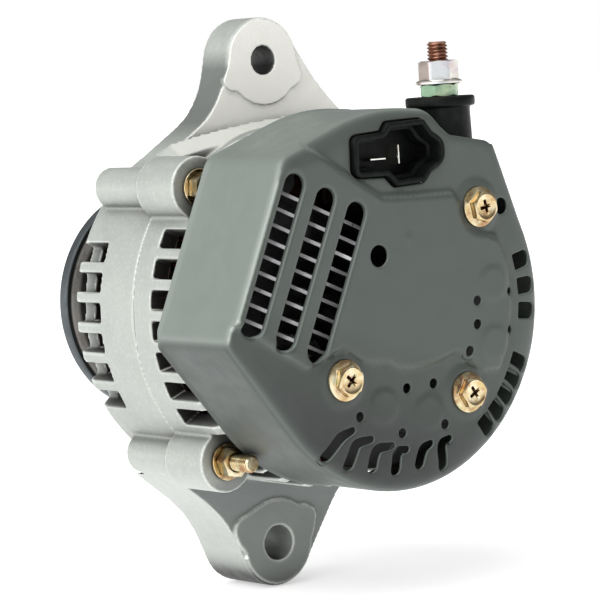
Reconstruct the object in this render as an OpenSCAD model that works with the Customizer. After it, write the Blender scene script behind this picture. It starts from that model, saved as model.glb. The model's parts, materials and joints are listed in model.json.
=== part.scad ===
// Car alternator with internal fans, a single V-belt pulley and a pressed rear cover.
// The rotor turns about the Y axis. The belt runs in the plane y = 0, the pulley nut is on the +Y
// side and the rear cover on the -Y side. +Z points from the pivot ear to the adjuster ear.
// All sizes are in millimetres.

/* [Housing] */
// Outer diameter of the cast housing
housing_d = 105; // [104:0.5:106]
// Wall thickness of the cast housing
housing_wall = 4; // [3.5:0.1:4.2]
// Angle between neighbouring ventilation windows
window_pitch = 9.8; // [9.5:0.1:10]
// Width of one ventilation window
window_w = 5.7; // [5:0.1:6]

/* [Ears] */
// Distance from the rotor axis to each ear's hole
ear_reach = 71.8; // [71:0.1:73]
// Radius of the pivot bolt hole in the lower ear
pivot_hole_r = 5.25; // [5:0.05:5.5]
// Radius of the adjuster bolt hole in the upper ear
adjust_hole_r = 4.25; // [4:0.05:4.5]
// Thickness of the upper ear
adjust_ear_t = 12; // [11:0.5:13]
// Thickness of the lower ear
pivot_ear_t = 20; // [18:0.5:21]

/* [Through bolts] */
// Distance from the rotor axis to the four through bolts
bolt_reach = 54.5; // [54:0.1:55]
// Half the angle between the two through bolts on one side
bolt_spread = 46; // [45:0.5:47]

/* [Rear cover] */
// Thickness of the cover's sheet
cover_t = 1.5; // [1.2:0.1:1.6]
// Depth of the cover
cover_depth = 34; // [33.5:0.1:34.5]
// Radius of the cover's round lower edge
cover_r = 51.4; // [50.8:0.1:51.8]
// Width of the three cooling slots
slot_w = 6.6; // [6:0.1:7]
// Length of the cooling slots between their end centres
slot_l = 40; // [38:0.5:41]
// Number of heat sink fins behind the slots
fin_count = 9; // [7:1:9]

/* [Pulley] */
// Outer diameter of the pulley
pulley_d = 69; // [68:0.5:70]
// Width of the pulley
pulley_w = 22; // [21:0.5:22]
// Width of the belt groove at the rim
groove_w = 14; // [13:0.1:15]
// Depth of the belt groove
groove_depth = 11; // [10:0.1:11.5]

/* [Rotor] */
// Gap between the rotor poles and the stator teeth
air_gap = 0.5; // [0.4:0.05:0.6]
// Number of claws on each rotor pole
claw_count = 6; // [4:1:7]
// Number of blades on each fan
blade_count = 9; // [7:1:11]
// Number of slots in the stator core
stator_slots = 36; // [24:12:36]

/* [Hidden] */
$fn = 64;
seat_play = 0.02;
run_play = 0.12;

// Stations along the rotor axis
frame_front_y = -23;
frame_joint_y = -55;
frame_rear_y = -80;
stator_front_y = -39;
stator_rear_y = -62;
pole_front_y = -37.5;
pole_rear_y = -65.5;
pole_mid_y = (pole_front_y + pole_rear_y) / 2;
retainer_y = -31;
cover_face_y = frame_rear_y - cover_depth;
adjust_ear_y = -53;
pivot_ear_y = -46.5;
upper_boss_y = -29.5;
lower_boss_y = -31.2;
nut_seat_y = -73;
front_window_y = -38;
rear_window_y = -63.5;

// Radii about the rotor axis
housing_r = housing_d / 2;
stator_r = housing_r - housing_wall;
bore_r = stator_r - 2;
rotor_r = 36.5;
tooth_r = rotor_r + air_gap;
window_in_r = 39;
window_lip_r = 47.5;
window_lip_y = -28;
inlet_count = 12;
retainer_r = 29.5;
retainer_screw_r = 26.6;
nose_r = 19.5;

// Bearings as [bore radius, outer radius, front y, rear y] and their balls as [pitch radius, ball
// radius, count]
front_brg = [8.5, 23.5, -17, -31];
front_balls = [16, 4.3, 7];
rear_brg = [7.5, 17.5, -75, -86];
rear_balls = [12.5, 2.9, 8];
sleeve_r = rear_brg[1] + 1;

// Housing details
front_wall = 4.5;
rear_wall = 4;
front_wall_y = frame_front_y - front_wall;
rear_wall_y = frame_rear_y + rear_wall;
front_boss_r = 6;
rear_boss_r = 9;
window_tilt = 3;
front_windows = 6;
rear_windows = 7;
pillar_y = -96;

// Under the cover
cover_screws = [[28.3, 26.7], [20.5, -25.6], [-23.7, -17.4]];
diode_places = [[31.1, 4.6], [30.6, -12.6], [6.6, -29.7], [-9.6, -26.4]];
slot_tilt = 24;
slot_mid = [-35.2, 14.5];
slot_step = 11.4;
fin_pitch = 4.6;
sink_base_y = -88;
sink_base_t = 3;
fin_tip_y = -108;
lug_reach = 25.5;
terminal = [27.6, -100.5];
socket_mid = [-0.6, 43.4];
bus_y = -86;
regulator = [[-8.5, -103, 29.5], [16, -91, 46]];
regulator_hole_x = [-5, 12.5];
brush_mid_y = [-92.75, -100.75];
brush_foot_z = 8.75;
brush_top_z = 20;
spring_top_z = 27;

// Helpers

function polar(r, a) = [r * cos(a), r * sin(a)];
function wrap(a) = a - 360 * floor(a / 360);
function turns(n) = [for (k = [0 : n - 1]) 360 * k / n];

// An outline is a belt around a ring of circles [x, z, r], walked anticlockwise. A circle with a
// negative radius bends the belt inwards. The inset moves the whole belt inwards.
function heading(a, b) = atan2(b[1] - a[1], b[0] - a[0]);
function gap(a, b) = norm([b[0] - a[0], b[1] - a[1]]);
function run_normal(a, b) = heading(a, b) - acos((a[2] - b[2]) / gap(a, b));
function sweep(r, from, to) = r > 0 ? wrap(to - from) : -wrap(from - to);
function arc(c, r, from, by, step = 5) =
    let (n = max(1, ceil(abs(by) / step)))
    [for (k = [0 : n]) c + polar(r, from + by * k / n)];
function belt(circles, inset = 0) =
    let (n = len(circles))
    [for (i = [0 : n - 1])
        let (
            here = circles[i],
            into = run_normal(circles[(i + n - 1) % n], here),
            out = run_normal(here, circles[(i + 1) % n])
        )
        each arc([here[0], here[1]], here[2] - inset, into, sweep(here[2], into, out))];

// A flat shape drawn in x and z, from y_high back to y_low
module slab(y_high, y_low)
    translate([0, y_high, 0]) rotate([90, 0, 0]) linear_extrude(y_high - y_low) children();

// A cylinder parallel to the rotor axis
module rod(r, y_high, y_low, at = [0, 0])
    translate([at[0], y_high, at[1]]) rotate([90, 0, 0]) cylinder(r = r, h = y_high - y_low);

// A tube parallel to the rotor axis
module tube(r_out, r_in, y_high, y_low, at = [0, 0])
    difference() {
        rod(r_out, y_high, y_low, at);
        rod(r_in, y_high + 1, y_low - 1, at);
    }

// A prism with six flats, parallel to the rotor axis
module hex(flats, y_high, y_low, at = [0, 0])
    translate([at[0], y_high, at[1]]) rotate([90, 0, 0])
        cylinder(r = flats / sqrt(3), h = y_high - y_low, $fn = 6);

// A block from one corner to the other
module block(low, high) translate(low) cube(high - low);

// A solid turned about the rotor axis from a profile of [radius, y]
module turned(profile) rotate([-90, 0, 0]) rotate_extrude() polygon(profile);

// Copies of the children, turned about the rotor axis to each angle from +X towards +Z
module around(angles) for (a = angles) rotate([0, -a, 0]) children();

// Housing

bolt_angles = [for (side = [0, 180], way = [1, -1])
    window_tilt + side + way * (side == 0 ? 1 : -1) * bolt_spread];
upper_bolts = [bolt_angles[0], bolt_angles[2]];
lower_bolts = [bolt_angles[1], bolt_angles[3]];

module windows(count, y_high, y_low, in_r = window_in_r)
    around([for (q = [0 : 3], k = [0 : count - 1])
        window_tilt + 90 * q + (k - (count - 1) / 2) * window_pitch])
        block([in_r, y_low, -window_w / 2], [housing_r + 3, y_high, window_w / 2]);

module bolt_bosses(angles, r, y_high, y_low)
    around(angles) {
        rod(r, y_high, y_low, [bolt_reach, 0]);
        block([stator_r - 1, y_low, 0.5 - r], [bolt_reach, y_high, r - 0.5]);
    }

module adjust_ear_outline() polygon(belt([
    [0, ear_reach, 12.6],
    [-37.5, 74, -24.5],
    concat(polar(bolt_reach, upper_bolts[1]), front_boss_r - 0.6),
    [0, 20, 20],
    concat(polar(bolt_reach, upper_bolts[0]), front_boss_r - 0.6),
    [55, 93, -45]
]));

module pivot_ear_outline() polygon(belt([
    [0, -ear_reach, 13],
    [43, -76, -25],
    concat(polar(bolt_reach, lower_bolts[0]), front_boss_r - 0.6),
    [0, -20, 20],
    concat(polar(bolt_reach, lower_bolts[1]), front_boss_r - 0.6),
    [-47, -84, -35]
]));

module drive_end_frame() color("gainsboro") difference() {
    union() {
        difference() {
            turned([
                [nose_r, front_brg[2] + 2.5], [26.5, front_brg[2] + 2.5], [29, front_brg[2] - 1],
                [34, frame_front_y], [housing_r - 4, frame_front_y],
                [housing_r - 1.2, frame_front_y - 1.2], [housing_r, frame_front_y - 4],
                [housing_r, frame_joint_y - 1], [stator_r, frame_joint_y - 1], [stator_r, stator_front_y],
                [bore_r, stator_front_y], [bore_r, front_wall_y - 2], [bore_r - 2, front_wall_y],
                [retainer_r, front_wall_y], [retainer_r, retainer_y],
                [front_brg[1], retainer_y], [front_brg[1], front_brg[2]], [nose_r, front_brg[2]]
            ]);
            windows(front_windows, window_lip_y, front_window_y);
            windows(front_windows, 0, window_lip_y - 1, window_lip_r);
            around(turns(inlet_count)) block([35.5, front_wall_y - 3, -3.3], [42.5, 0, 3.3]);
        }
        difference() {
            union() {
                bolt_bosses(upper_bolts, front_boss_r, upper_boss_y, frame_joint_y - 1);
                bolt_bosses(lower_bolts, front_boss_r, lower_boss_y, frame_joint_y - 1);
                slab(adjust_ear_y + adjust_ear_t, adjust_ear_y) adjust_ear_outline();
                slab(pivot_ear_y + pivot_ear_t, pivot_ear_y) pivot_ear_outline();
                rod(12, adjust_ear_y + 1, adjust_ear_y - 1, [0, ear_reach]);
                rod(12.5, pivot_ear_y + 1, pivot_ear_y - 1.2, [0, -ear_reach]);
            }
            rod(housing_r - 2, 0, frame_joint_y - 5);
            around(lower_bolts) rod(6.8, 0, lower_boss_y, [bolt_reach, 0]);
        }
    }
    rod(80, frame_joint_y, frame_joint_y - 5);
    rod(adjust_hole_r, 0, -60, [0, ear_reach]);
    rod(pivot_hole_r, 0, -60, [0, -ear_reach]);
    around(upper_bolts) rod(2.7, upper_boss_y - 3, -60, [bolt_reach, 0]);
    around(lower_bolts) rod(2.7, lower_boss_y - 3, -60, [bolt_reach, 0]);
    around(turns(4)) rod(2, retainer_y + 8, retainer_y - 5, [retainer_screw_r, 0]);
}

module rear_frame() color("gainsboro") difference() {
    union() {
        difference() {
            turned([
                [stator_r, frame_joint_y + 1], [housing_r, frame_joint_y + 1],
                [housing_r, frame_rear_y + 3],
                [housing_r - 0.9, frame_rear_y + 0.9], [housing_r - 3, frame_rear_y],
                [22.5, frame_rear_y], [21.5, rear_brg[3] - 1.5], [15, rear_brg[3] - 1.5],
                [15, rear_brg[3]], [sleeve_r, rear_brg[3]], [sleeve_r, rear_brg[2]],
                [22, rear_brg[2]], [24, rear_wall_y], [bore_r - 3, rear_wall_y],
                [bore_r, rear_wall_y + 2.4], [bore_r, stator_rear_y], [stator_r, stator_rear_y]
            ]);
            windows(rear_windows, rear_window_y, -100);
        }
        difference() {
            bolt_bosses(bolt_angles, rear_boss_r, frame_joint_y + 1, nut_seat_y - 1);
            rod(housing_r - 2, frame_joint_y + 5, nut_seat_y - 5);
        }
        for (at = cover_screws) {
            rod(6.5, rear_wall_y - 0.5, pillar_y, at);
            rod(4.5, pillar_y + 1, cover_face_y + cover_t, at);
        }
        for (at = lug_places) rod(4.2, rear_wall_y - 0.5, sink_base_y, at);
    }
    rod(80, frame_joint_y + 5, frame_joint_y);
    around(bolt_angles) {
        rod(2.7, frame_joint_y + 5, -90, [bolt_reach, 0]);
        rod(rear_boss_r + 0.6, nut_seat_y, -90, [bolt_reach, 0]);
    }
    for (at = cover_screws) rod(2.5, -98, -120, at);
    for (at = lug_places) rod(2, rear_wall_y - 2, -90, at);
}

// The two bolts on the +X side end short, beside the cover
module bolts_from(angles, seat_y) for (a = angles) around([a]) {
    rod(2.5, seat_y - 3, nut_seat_y - (cos(a) > 0 ? 6.5 : 12.5), [bolt_reach, 0]);
}
module through_bolts() color("goldenrod") {
    bolts_from(upper_bolts, upper_boss_y);
    bolts_from(lower_bolts, lower_boss_y);
}

module through_bolt_washers() color("khaki") around(bolt_angles)
    tube(5.4, 2.6, nut_seat_y, nut_seat_y - 1, [bolt_reach, 0]);

module through_bolt_nuts() color("gold") around(bolt_angles) difference() {
    hex(8, nut_seat_y - 1, nut_seat_y - 5, [bolt_reach, 0]);
    rod(2.5 + seat_play, 0, -100, [bolt_reach, 0]);
}

// Stator

slot_deep_r = 45.5;
slot_open_r = 38.4;

module stator_core() color("dimgray") difference() {
    tube(stator_r - 0.05, tooth_r, stator_front_y, stator_rear_y);
    around(turns(stator_slots)) {
        block([slot_open_r, stator_rear_y - 1, -1.9], [slot_deep_r, stator_front_y + 1, 1.9]);
        block([tooth_r - 1, stator_rear_y - 1, -1], [slot_open_r + 1, stator_front_y + 1, 1]);
    }
}

module winding_head(y_near, way)
    turned([for (p = [[38.6, 0], [38.6, 8.5], [40.4, 10.4], [43.4, 10.4], [45.4, 8.5], [45.4, 0]])
        [p[0], y_near + way * p[1]]]);

module stator_winding() color("firebrick") {
    winding_head(stator_front_y, 1);
    winding_head(stator_rear_y, -1);
    around(turns(stator_slots))
        block([slot_open_r + 0.2, stator_rear_y - 1, -1.7],
            [slot_deep_r - 0.2, stator_front_y + 1, 1.7]);
}

// Three phase wires run through windows of the rear frame to the terminal block
lead_angles = [for (k = [1 : 3]) window_tilt + (k - 1) * window_pitch];
module stator_leads() color("darkred") around(lead_angles) {
    rod(1.1, stator_rear_y - 10.4, -91, [42, 0]);
}

// Bearings

module inner_race(brg, balls) difference() {
    tube((brg[0] + balls[0]) / 2 + balls[1] * 0.12, brg[0] + seat_play, brg[2], brg[3]);
    ball_track(brg, balls);
}
module outer_race(brg, balls) difference() {
    tube(brg[1] - seat_play, (brg[1] + balls[0]) / 2 - balls[1] * 0.12, brg[2], brg[3]);
    ball_track(brg, balls);
}
module ball_track(brg, balls)
    translate([0, (brg[2] + brg[3]) / 2, 0]) rotate([-90, 0, 0])
        rotate_extrude() translate([balls[0], 0]) circle(balls[1] + run_play);
module ball_set(brg, balls)
    around(turns(balls[2])) translate([balls[0], (brg[2] + brg[3]) / 2, 0]) sphere(balls[1]);
module ball_cage(brg, balls) difference() {
    let (mid = (brg[2] + brg[3]) / 2)
        tube(balls[0] + 1.1, balls[0] - 1.1, mid + balls[1] + 1, mid - balls[1] - 1);
    around(turns(balls[2]))
        translate([balls[0] - 3, (brg[2] + brg[3]) / 2, 0]) rotate([0, 90, 0])
            cylinder(r = balls[1] + run_play, h = 6);
}
module seal_pair(brg, balls, inner, outer)
    for (y = [brg[2] - 0.4, brg[3] + 1.2]) tube(outer, inner, y, y - 0.8);

module front_bearing_inner_race() color("silver") inner_race(front_brg, front_balls);
module front_bearing_outer_race() color("silver") outer_race(front_brg, front_balls);
module front_bearing_balls() color("silver") ball_set(front_brg, front_balls);
module front_bearing_cage() color("darkgoldenrod") ball_cage(front_brg, front_balls);
module front_bearing_seals() color("saddlebrown") seal_pair(front_brg, front_balls, 13.1, 19.2);
module rear_bearing_inner_race() color("silver") inner_race(rear_brg, rear_balls);
module rear_bearing_outer_race() color("silver") outer_race(rear_brg, rear_balls);
module rear_bearing_balls() color("silver") ball_set(rear_brg, rear_balls);
module rear_bearing_cage() color("darkgoldenrod") ball_cage(rear_brg, rear_balls);
module rear_bearing_seals() color("saddlebrown") seal_pair(rear_brg, rear_balls, 10.7, 14.6);
module rear_bearing_sleeve() color("black")
    tube(sleeve_r - seat_play, rear_brg[1] + seat_play, rear_brg[2], rear_brg[3]);

module bearing_retainer_plate() color("silver") difference() {
    tube(retainer_r, 20.5, retainer_y, retainer_y - 1.6);
    around(turns(4)) rod(2.2, 0, -50, [retainer_screw_r, 0]);
}
module retainer_screws() color("gold") around(turns(4)) {
    rod(1.98, retainer_y + 7, retainer_y - 1.6, [retainer_screw_r, 0]);
    rod(2.8, retainer_y - 1.6, retainer_y - 3.4, [retainer_screw_r, 0]);
}

// Rotor

module rotor_shaft() color("silver") turned([
    [0, 17.5], [6.2, 17.5], [7, 16.7], [7, 2], [8.5, 2], [8.5, retainer_y], [10, retainer_y],
    [10, -74.5], [rear_brg[0], -74.5], [rear_brg[0], -87], [6, -87], [6, -108], [0, -108]
]);

// One claw, on the +X side, tapering from its root to its tip
module claw(root_y, way) intersection() {
    turned([for (p = [[20, 0], [rotor_r, 0], [rotor_r, 26.6], [33.2, 26.6], [28, 8.5], [20, 8.5]])
        [p[0], root_y + way * p[1]]]);
    rotate([90, 0, 90]) translate([0, 0, 10]) linear_extrude(30)
        polygon([for (p = [[-8.6, -1], [8.6, -1], [8.6, 8], [3.4, 27], [-3.4, 27], [-8.6, 8]])
            [root_y + way * p[1], p[0]]]);
}
module rotor_pole(root_y, way, turn) difference() {
    union() {
        turned([for (p = [[0, 0], [24, 0], [24, 8.5], [15.8, 8.5], [15.8, 14], [0, 14]])
            [p[0], root_y + way * p[1]]]);
        around([for (a = turns(claw_count)) a + turn]) claw(root_y, way);
    }
    rod(10 + seat_play, 0, -100);
}
module rotor_pole_front() color("slategray") rotor_pole(pole_front_y, -1, 0);
module rotor_pole_rear() color("slategray") rotor_pole(pole_rear_y, 1, 180 / claw_count);

module coil_bobbin() color("wheat") turned([
    [16, -46.2], [27, -46.2], [27, -47.2], [17, -47.2], [17, -55.8], [27, -55.8], [27, -56.8],
    [16, -56.8]
]);
module field_coil() color("firebrick") tube(26.2, 17 + seat_play, -47.2, -55.8);

// A fan: a disc with curved blades that stand on it towards +Y or -Y
module fan(y_disc, way, r_in, r_out, height) {
    y_top = y_disc + way * height;
    disc_y = y_disc + way * 1.2;
    y_mid = y_disc + way * 0.6;
    tube(33, 10.5, max(y_disc, disc_y), min(y_disc, disc_y));
    around(turns(blade_count))
        intersection() {
            slab(max(y_mid, y_top), min(y_mid, y_top)) difference() {
                translate([r_out - 2, -9]) circle(11);
                translate([r_out - 2, -9]) circle(9.8);
            }
            block([r_in - 3, -90, -4], [r_out + 1, 0, 4]);
            tube(r_out, r_in, 0, -90);
        }
}
module front_fan() color("gray") fan(pole_front_y, 1, 31, 35.2, 8);
module rear_fan() color("gray") fan(pole_rear_y, -1, 25, 35.2, 8);

module slip_ring_insulator() color("maroon") tube(7.3, 6 + seat_play, -87.6, -107);
module slip_rings() color("peru")
    for (y = brush_mid_y) tube(8.7, 7.3 + seat_play, y + 3, y - 3);
module shaft_spacer() color("silver") tube(12, 8.5 + seat_play, -10.5, front_brg[2]);

module pulley() color("darkslategray")
    let (r = pulley_d / 2, half = pulley_w / 2, floor_w = 7, tip = groove_w / 2)
    turned([
        [8.5 + seat_play, 2], [8.5 + seat_play, -10.5], [13.5, -10.5], [14, -6], [22, -6],
        [23, -half], [r - 0.6, -half], [r, -half + 0.6], [r, -tip], [r - groove_depth, -floor_w / 2],
        [r - groove_depth, floor_w / 2], [r, tip], [r, half - 0.6], [r - 0.6, half], [21, half],
        [20, 2]
    ]);
module pulley_washer() color("silver") tube(12, 7.1, 3.8, 2);
module pulley_nut() color("gold") difference() {
    union() {
        hex(22, 14.3, 5.3);
        rod(13.5, 5.3, 3.8);
    }
    rod(7 + seat_play, 20, 0);
}

// Rear cover

cover_circles = [
    [0, 0, cover_r],
    [32.2, 40.6, 6],
    [22.8, 55.4, -7],
    [8.8, 46.7, 9.2],
    [0, 0, 56.4],
    [-36.6, 40.2, 6],
    [-56.8, -3.4, 5]
];

// A closed solid through a stack of rings of points
module stack(rings) {
    n = len(rings[0]);
    m = len(rings);
    polyhedron(
        points = [for (ring = rings) each ring],
        faces = concat(
            [[for (i = [0 : n - 1]) i]],
            [for (k = [0 : m - 2], i = [0 : n - 1])
                [k * n + i, (k + 1) * n + i, (k + 1) * n + (i + 1) % n, k * n + (i + 1) % n]],
            [[for (i = [n - 1 : -1 : 0]) (m - 1) * n + i]]
        )
    );
}
function ring_at(inset, y) = [for (p = belt(cover_circles, inset)) [p[0], y, p[1]]];
module cover_body(inset, y_rim, y_face) stack([
    ring_at(inset, y_rim), ring_at(inset, y_face + 3.4), ring_at(inset + 0.5, y_face + 1.7),
    ring_at(inset + 1.5, y_face + 0.5), ring_at(inset + 3.2, y_face)
]);

// Places that follow the tilted slots: u runs across the slots, v along them
function tilted(u, v) = slot_mid + [u * cos(slot_tilt) + v * sin(slot_tilt),
    v * cos(slot_tilt) - u * sin(slot_tilt)];
lug_places = [for (way = [-1, 1]) tilted(0, way * lug_reach)];
module in_slots() translate([slot_mid[0], 0, slot_mid[1]]) rotate([0, slot_tilt, 0]) children();

// The socket's opening: a long round-ended window with a key on its upper and lower edges
module socket_outline(grow = 0) {
    translate([socket_mid[0], socket_mid[1]]) {
        polygon(belt([[-13.2, -3.8, 2.4], [9.4, 0, 7.4], [-13.2, 4.4, 2.4]], -grow));
        polygon(belt([[1.2, -6, 2], [7.4, -6, 2], [7.4, 7.4, 2], [-1, 7.4, 2]], -grow));
    }
}

vent_angles = [13, 3.5, -5.8, -25, -31.5, -38, -45, -52, -75, -87, -98.5, -109, -119, -128.5];
small_holes = [
    [25.3, 0.1], [24.9, -6.6], [21.5, -13.9], [37.5, -9.4], [38.1, 1.7],
    [-0.8, -22.2], [9, -21.9], [-18.1, -28.3], [-3.3, -34.6], [12.4, -33.9]
];

module rear_cover() color("slategray") difference() {
    cover_body(0, frame_rear_y, cover_face_y);
    cover_body(cover_t, frame_rear_y + 1, cover_face_y + cover_t);
    in_slots() for (k = [-1 : 1]) translate([k * slot_step, 0, 0]) {
        for (end = [-1, 1]) rod(slot_w / 2, -105, -120, [0, end * slot_l / 2]);
        block([-slot_w / 2, -120, -slot_l / 2], [slot_w / 2, -105, slot_l / 2]);
    }
    for (at = cover_screws) rod(2.7, -105, -120, at);
    for (at = small_holes) rod(1.5, -105, -120, at);
    rod(3.1, -105, -120, [-9.6, 15.8]);
    rod(2.5, -105, -120, [37.8, 26.2]);
    slab(-105, -120) socket_outline(0.3);
    around(vent_angles) block([42.5, -120, -2.2], [49, cover_face_y + 8, 2.2]);
    translate([terminal[0], terminal[1], 38]) cylinder(r = 9.2, h = 30);
    block([terminal[0] - 9.2, terminal[1], 38], [terminal[0] + 9.2, frame_rear_y + 5, 68]);
}

module cover_bolts() color("gold") for (at = cover_screws) {
    rod(2.48, -100, cover_face_y, at);
    difference() {
        union() {
            rod(5.9, cover_face_y, cover_face_y - 1.2, at);
            hex(8, cover_face_y - 1.2, cover_face_y - 3.6, at);
        }
        rod(1.6, cover_face_y - 2.4, cover_face_y - 6, at);
    }
}

// Rectifier

module rectifier_heatsink() color("silver") difference() {
    union() {
        in_slots() {
            block([-15.5, sink_base_y - sink_base_t, -22.4], [15.5, sink_base_y, 22.4]);
            for (k = [0 : fin_count - 1])
                translate([0, 0, (k - (fin_count - 1) / 2) * fin_pitch]) fin();
        }
        for (at = lug_places) rod(4.8, sink_base_y, sink_base_y - sink_base_t, at);
    }
    for (at = lug_places) rod(2.2, -80, -100, at);
    rod(7.5, -80, -120, cover_screws[2]);
}
module fin() linear_extrude(1, center = true) polygon([
    [-15.5, fin_tip_y], [20.5, fin_tip_y], [20.5, -95], [15.5, -95],
    [15.5, sink_base_y - 1], [-15.5, sink_base_y - 1]
]);
module rectifier_screws() color("gold") for (at = lug_places) {
    rod(1.98, rear_wall_y - 2.5, sink_base_y - sink_base_t, at);
    rod(3.6, sink_base_y - sink_base_t, sink_base_y - sink_base_t - 2.4, at);
}

module ground_plate_outline() difference() {
    intersection() {
        circle(45.5);
        polygon(concat([[0, 0]], arc([0, 0], 60, -151, 200)));
    }
    circle(20.6);
    for (at = cover_screws) translate(at) circle(4.5 + seat_play);
    for (at = diode_places) translate(at) circle(6.35 + seat_play);
}
module rectifier_ground_plate() color("silver") slab(pillar_y, pillar_y - 3) ground_plate_outline();
module rectifier_diodes() color("gray") for (at = diode_places) {
    rod(6.35, pillar_y + 1.5, pillar_y - 7, at);
    rod(0.8, pillar_y + 4, pillar_y, at);
}
module rectifier_terminal_block() color("black")
    slab(-89, -92) difference() {
        intersection() {
            circle(44);
            polygon(concat([[0, 0]], arc([0, 0], 60, -115, 150)));
        }
        circle(26);
        for (at = cover_screws) translate(at) circle(6.9);
        for (a = lead_angles) translate(polar(42, a)) circle(1.3);
    }

// Output terminal

module output_bus_bar() color("peru") difference() {
    union() {
        slab(bus_y, sink_base_y)
            polygon([[-19.8, 30], [-17, 40], [20, 41], [36, 41], [36, 38.5], [20, 34.5], [-12, 26]]);
        block([terminal[0] - 7, terminal[1] - 7, 38.5], [terminal[0] + 7, bus_y, 41]);
    }
    translate([terminal[0], terminal[1], 30]) cylinder(r = 3.2, h = 20);
}
module output_stud() color("peru") translate([terminal[0], terminal[1], 0]) {
    translate([0, 0, 38.5 - 3.5]) cylinder(r = 10 / sqrt(3), h = 3.5, $fn = 6);
    translate([0, 0, 36]) cylinder(r = 2.6, h = 35);
    translate([0, 0, 69]) cylinder(r = 3, h = 4.6);
    translate([0, 0, 73]) cylinder(r = 2.6, h = 1.2);
}
module output_insulator() color("black") translate([terminal[0], terminal[1], 0]) difference() {
    union() {
        translate([0, 0, 41]) cylinder(r = 8.4, h = 15);
        translate([0, 0, 55.8]) cylinder(r = 10, h = 2.7);
    }
    translate([0, 0, 40]) cylinder(r = 3.05, h = 30);
}
module output_lock_nut() color("mediumseagreen") translate([terminal[0], terminal[1], 0])
    difference() {
        translate([0, 0, 58.5]) cylinder(r = 10 / sqrt(3), h = 3.5, $fn = 6);
        translate([0, 0, 50]) cylinder(r = 3 + seat_play, h = 30);
    }
module output_nut() color("silver") translate([terminal[0], terminal[1], 0])
    difference() {
        union() {
            translate([0, 0, 62]) cylinder(r = 6.7, h = 1.2);
            translate([0, 0, 63.2]) cylinder(r = 10 / sqrt(3), h = 5.6, $fn = 6);
        }
        translate([0, 0, 50]) cylinder(r = 3 + seat_play, h = 30);
    }

// Regulator, connector and brushes

module voltage_regulator() color("black") difference() {
    block(regulator[0], regulator[1]);
    for (x = regulator_hole_x) rod(1.7, -80, -110, [x, 33]);
}
module regulator_heatsink() color("silver") difference() {
    block([regulator[0][0], -91, 30], [regulator[1][0], -89.2, 46]);
    for (x = regulator_hole_x) rod(1.7, -80, -110, [x, 33]);
}
module regulator_screws() color("gold") for (x = regulator_hole_x) {
    rod(1.6, -88.4, -103, [x, 33]);
    rod(2.9, -103, -105, [x, 33]);
}
module connector_socket() color("black") difference() {
    slab(-103, cover_face_y - 0.8) socket_outline(0);
    slab(-105, -120) socket_outline(-1.5);
}
module connector_pins() color("silver") {
    translate([socket_mid[0], 0, socket_mid[1]]) {
        block([-5.6, -109, -1.4], [0.2, -105, -0.6]);
        block([4.4, -109, -2.9], [5.2, -105, 2.8]);
    }
}
module brush_holder() color("black") difference() {
    block([-5.5, -105, 11], [5.5, -88.5, spring_top_z]);
    for (y = brush_mid_y) block([-3.1, y - 2.6, 0], [3.1, y + 2.6, 40]);
}
module brush_cap() color("dimgray") block([-5.5, -105, spring_top_z], [5.5, -88.5, 29]);
module brush(y) difference() {
    block([-3, y - 2.5, 6], [3, y + 2.5, brush_top_z]);
    rod(brush_foot_z, -80, -120);
}
module brush_front() color("dimgray") brush(brush_mid_y[0]);
module brush_rear() color("dimgray") brush(brush_mid_y[1]);

// A coil spring that stands on the brush
spring_turns = 5;
spring_sides = 8;
function spring_ring(k, n, y) =
    let (
        a = 360 * spring_turns * k / n,
        z = brush_top_z + 0.35 + (spring_top_z - brush_top_z - 0.7) * k / n
    )
    [for (j = [0 : spring_sides - 1])
        let (p = polar(0.3, 360 * j / spring_sides))
        [(1.6 + p[0]) * cos(a), y + (1.6 + p[0]) * sin(a), z + p[1]]];
module brush_spring(y)
    let (n = spring_turns * 12) stack([for (k = [0 : n]) spring_ring(k, n, y)]);
module brush_spring_front() color("silver") brush_spring(brush_mid_y[0]);
module brush_spring_rear() color("silver") brush_spring(brush_mid_y[1]);

module slip_ring_seal() color("black") difference() {
    tube(11.4, 9.6, -87.8, -106);
    block([-5.6, -120, 0], [5.6, -80, 20]);
}

drive_end_frame();
rear_frame();
stator_core();
stator_winding();
stator_leads();
through_bolts();
through_bolt_nuts();
through_bolt_washers();
front_bearing_outer_race();
front_bearing_seals();
bearing_retainer_plate();
retainer_screws();
rear_bearing_outer_race();
rear_bearing_seals();
rear_bearing_sleeve();
rear_cover();
cover_bolts();
rectifier_heatsink();
rectifier_screws();
rectifier_ground_plate();
rectifier_diodes();
rectifier_terminal_block();
output_bus_bar();
output_stud();
output_insulator();
output_lock_nut();
output_nut();
voltage_regulator();
regulator_heatsink();
regulator_screws();
connector_socket();
connector_pins();
brush_holder();
brush_cap();
slip_ring_seal();
front_bearing_balls();
front_bearing_cage();
rear_bearing_balls();
rear_bearing_cage();
brush_front();
brush_rear();
brush_spring_front();
brush_spring_rear();
rotor_shaft();
rotor_pole_front();
rotor_pole_rear();
coil_bobbin();
field_coil();
front_fan();
rear_fan();
slip_ring_insulator();
slip_rings();
front_bearing_inner_race();
rear_bearing_inner_race();
shaft_spacer();
pulley();
pulley_washer();
pulley_nut();
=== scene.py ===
import bpy
import bmesh
import json
import numpy as np
from contextlib import contextmanager
from math import acos, atan2, ceil, cos, degrees, hypot, pi, radians, sin, sqrt, tan
from mathutils import Matrix, Vector
from mathutils.geometry import delaunay_2d_cdt


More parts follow.
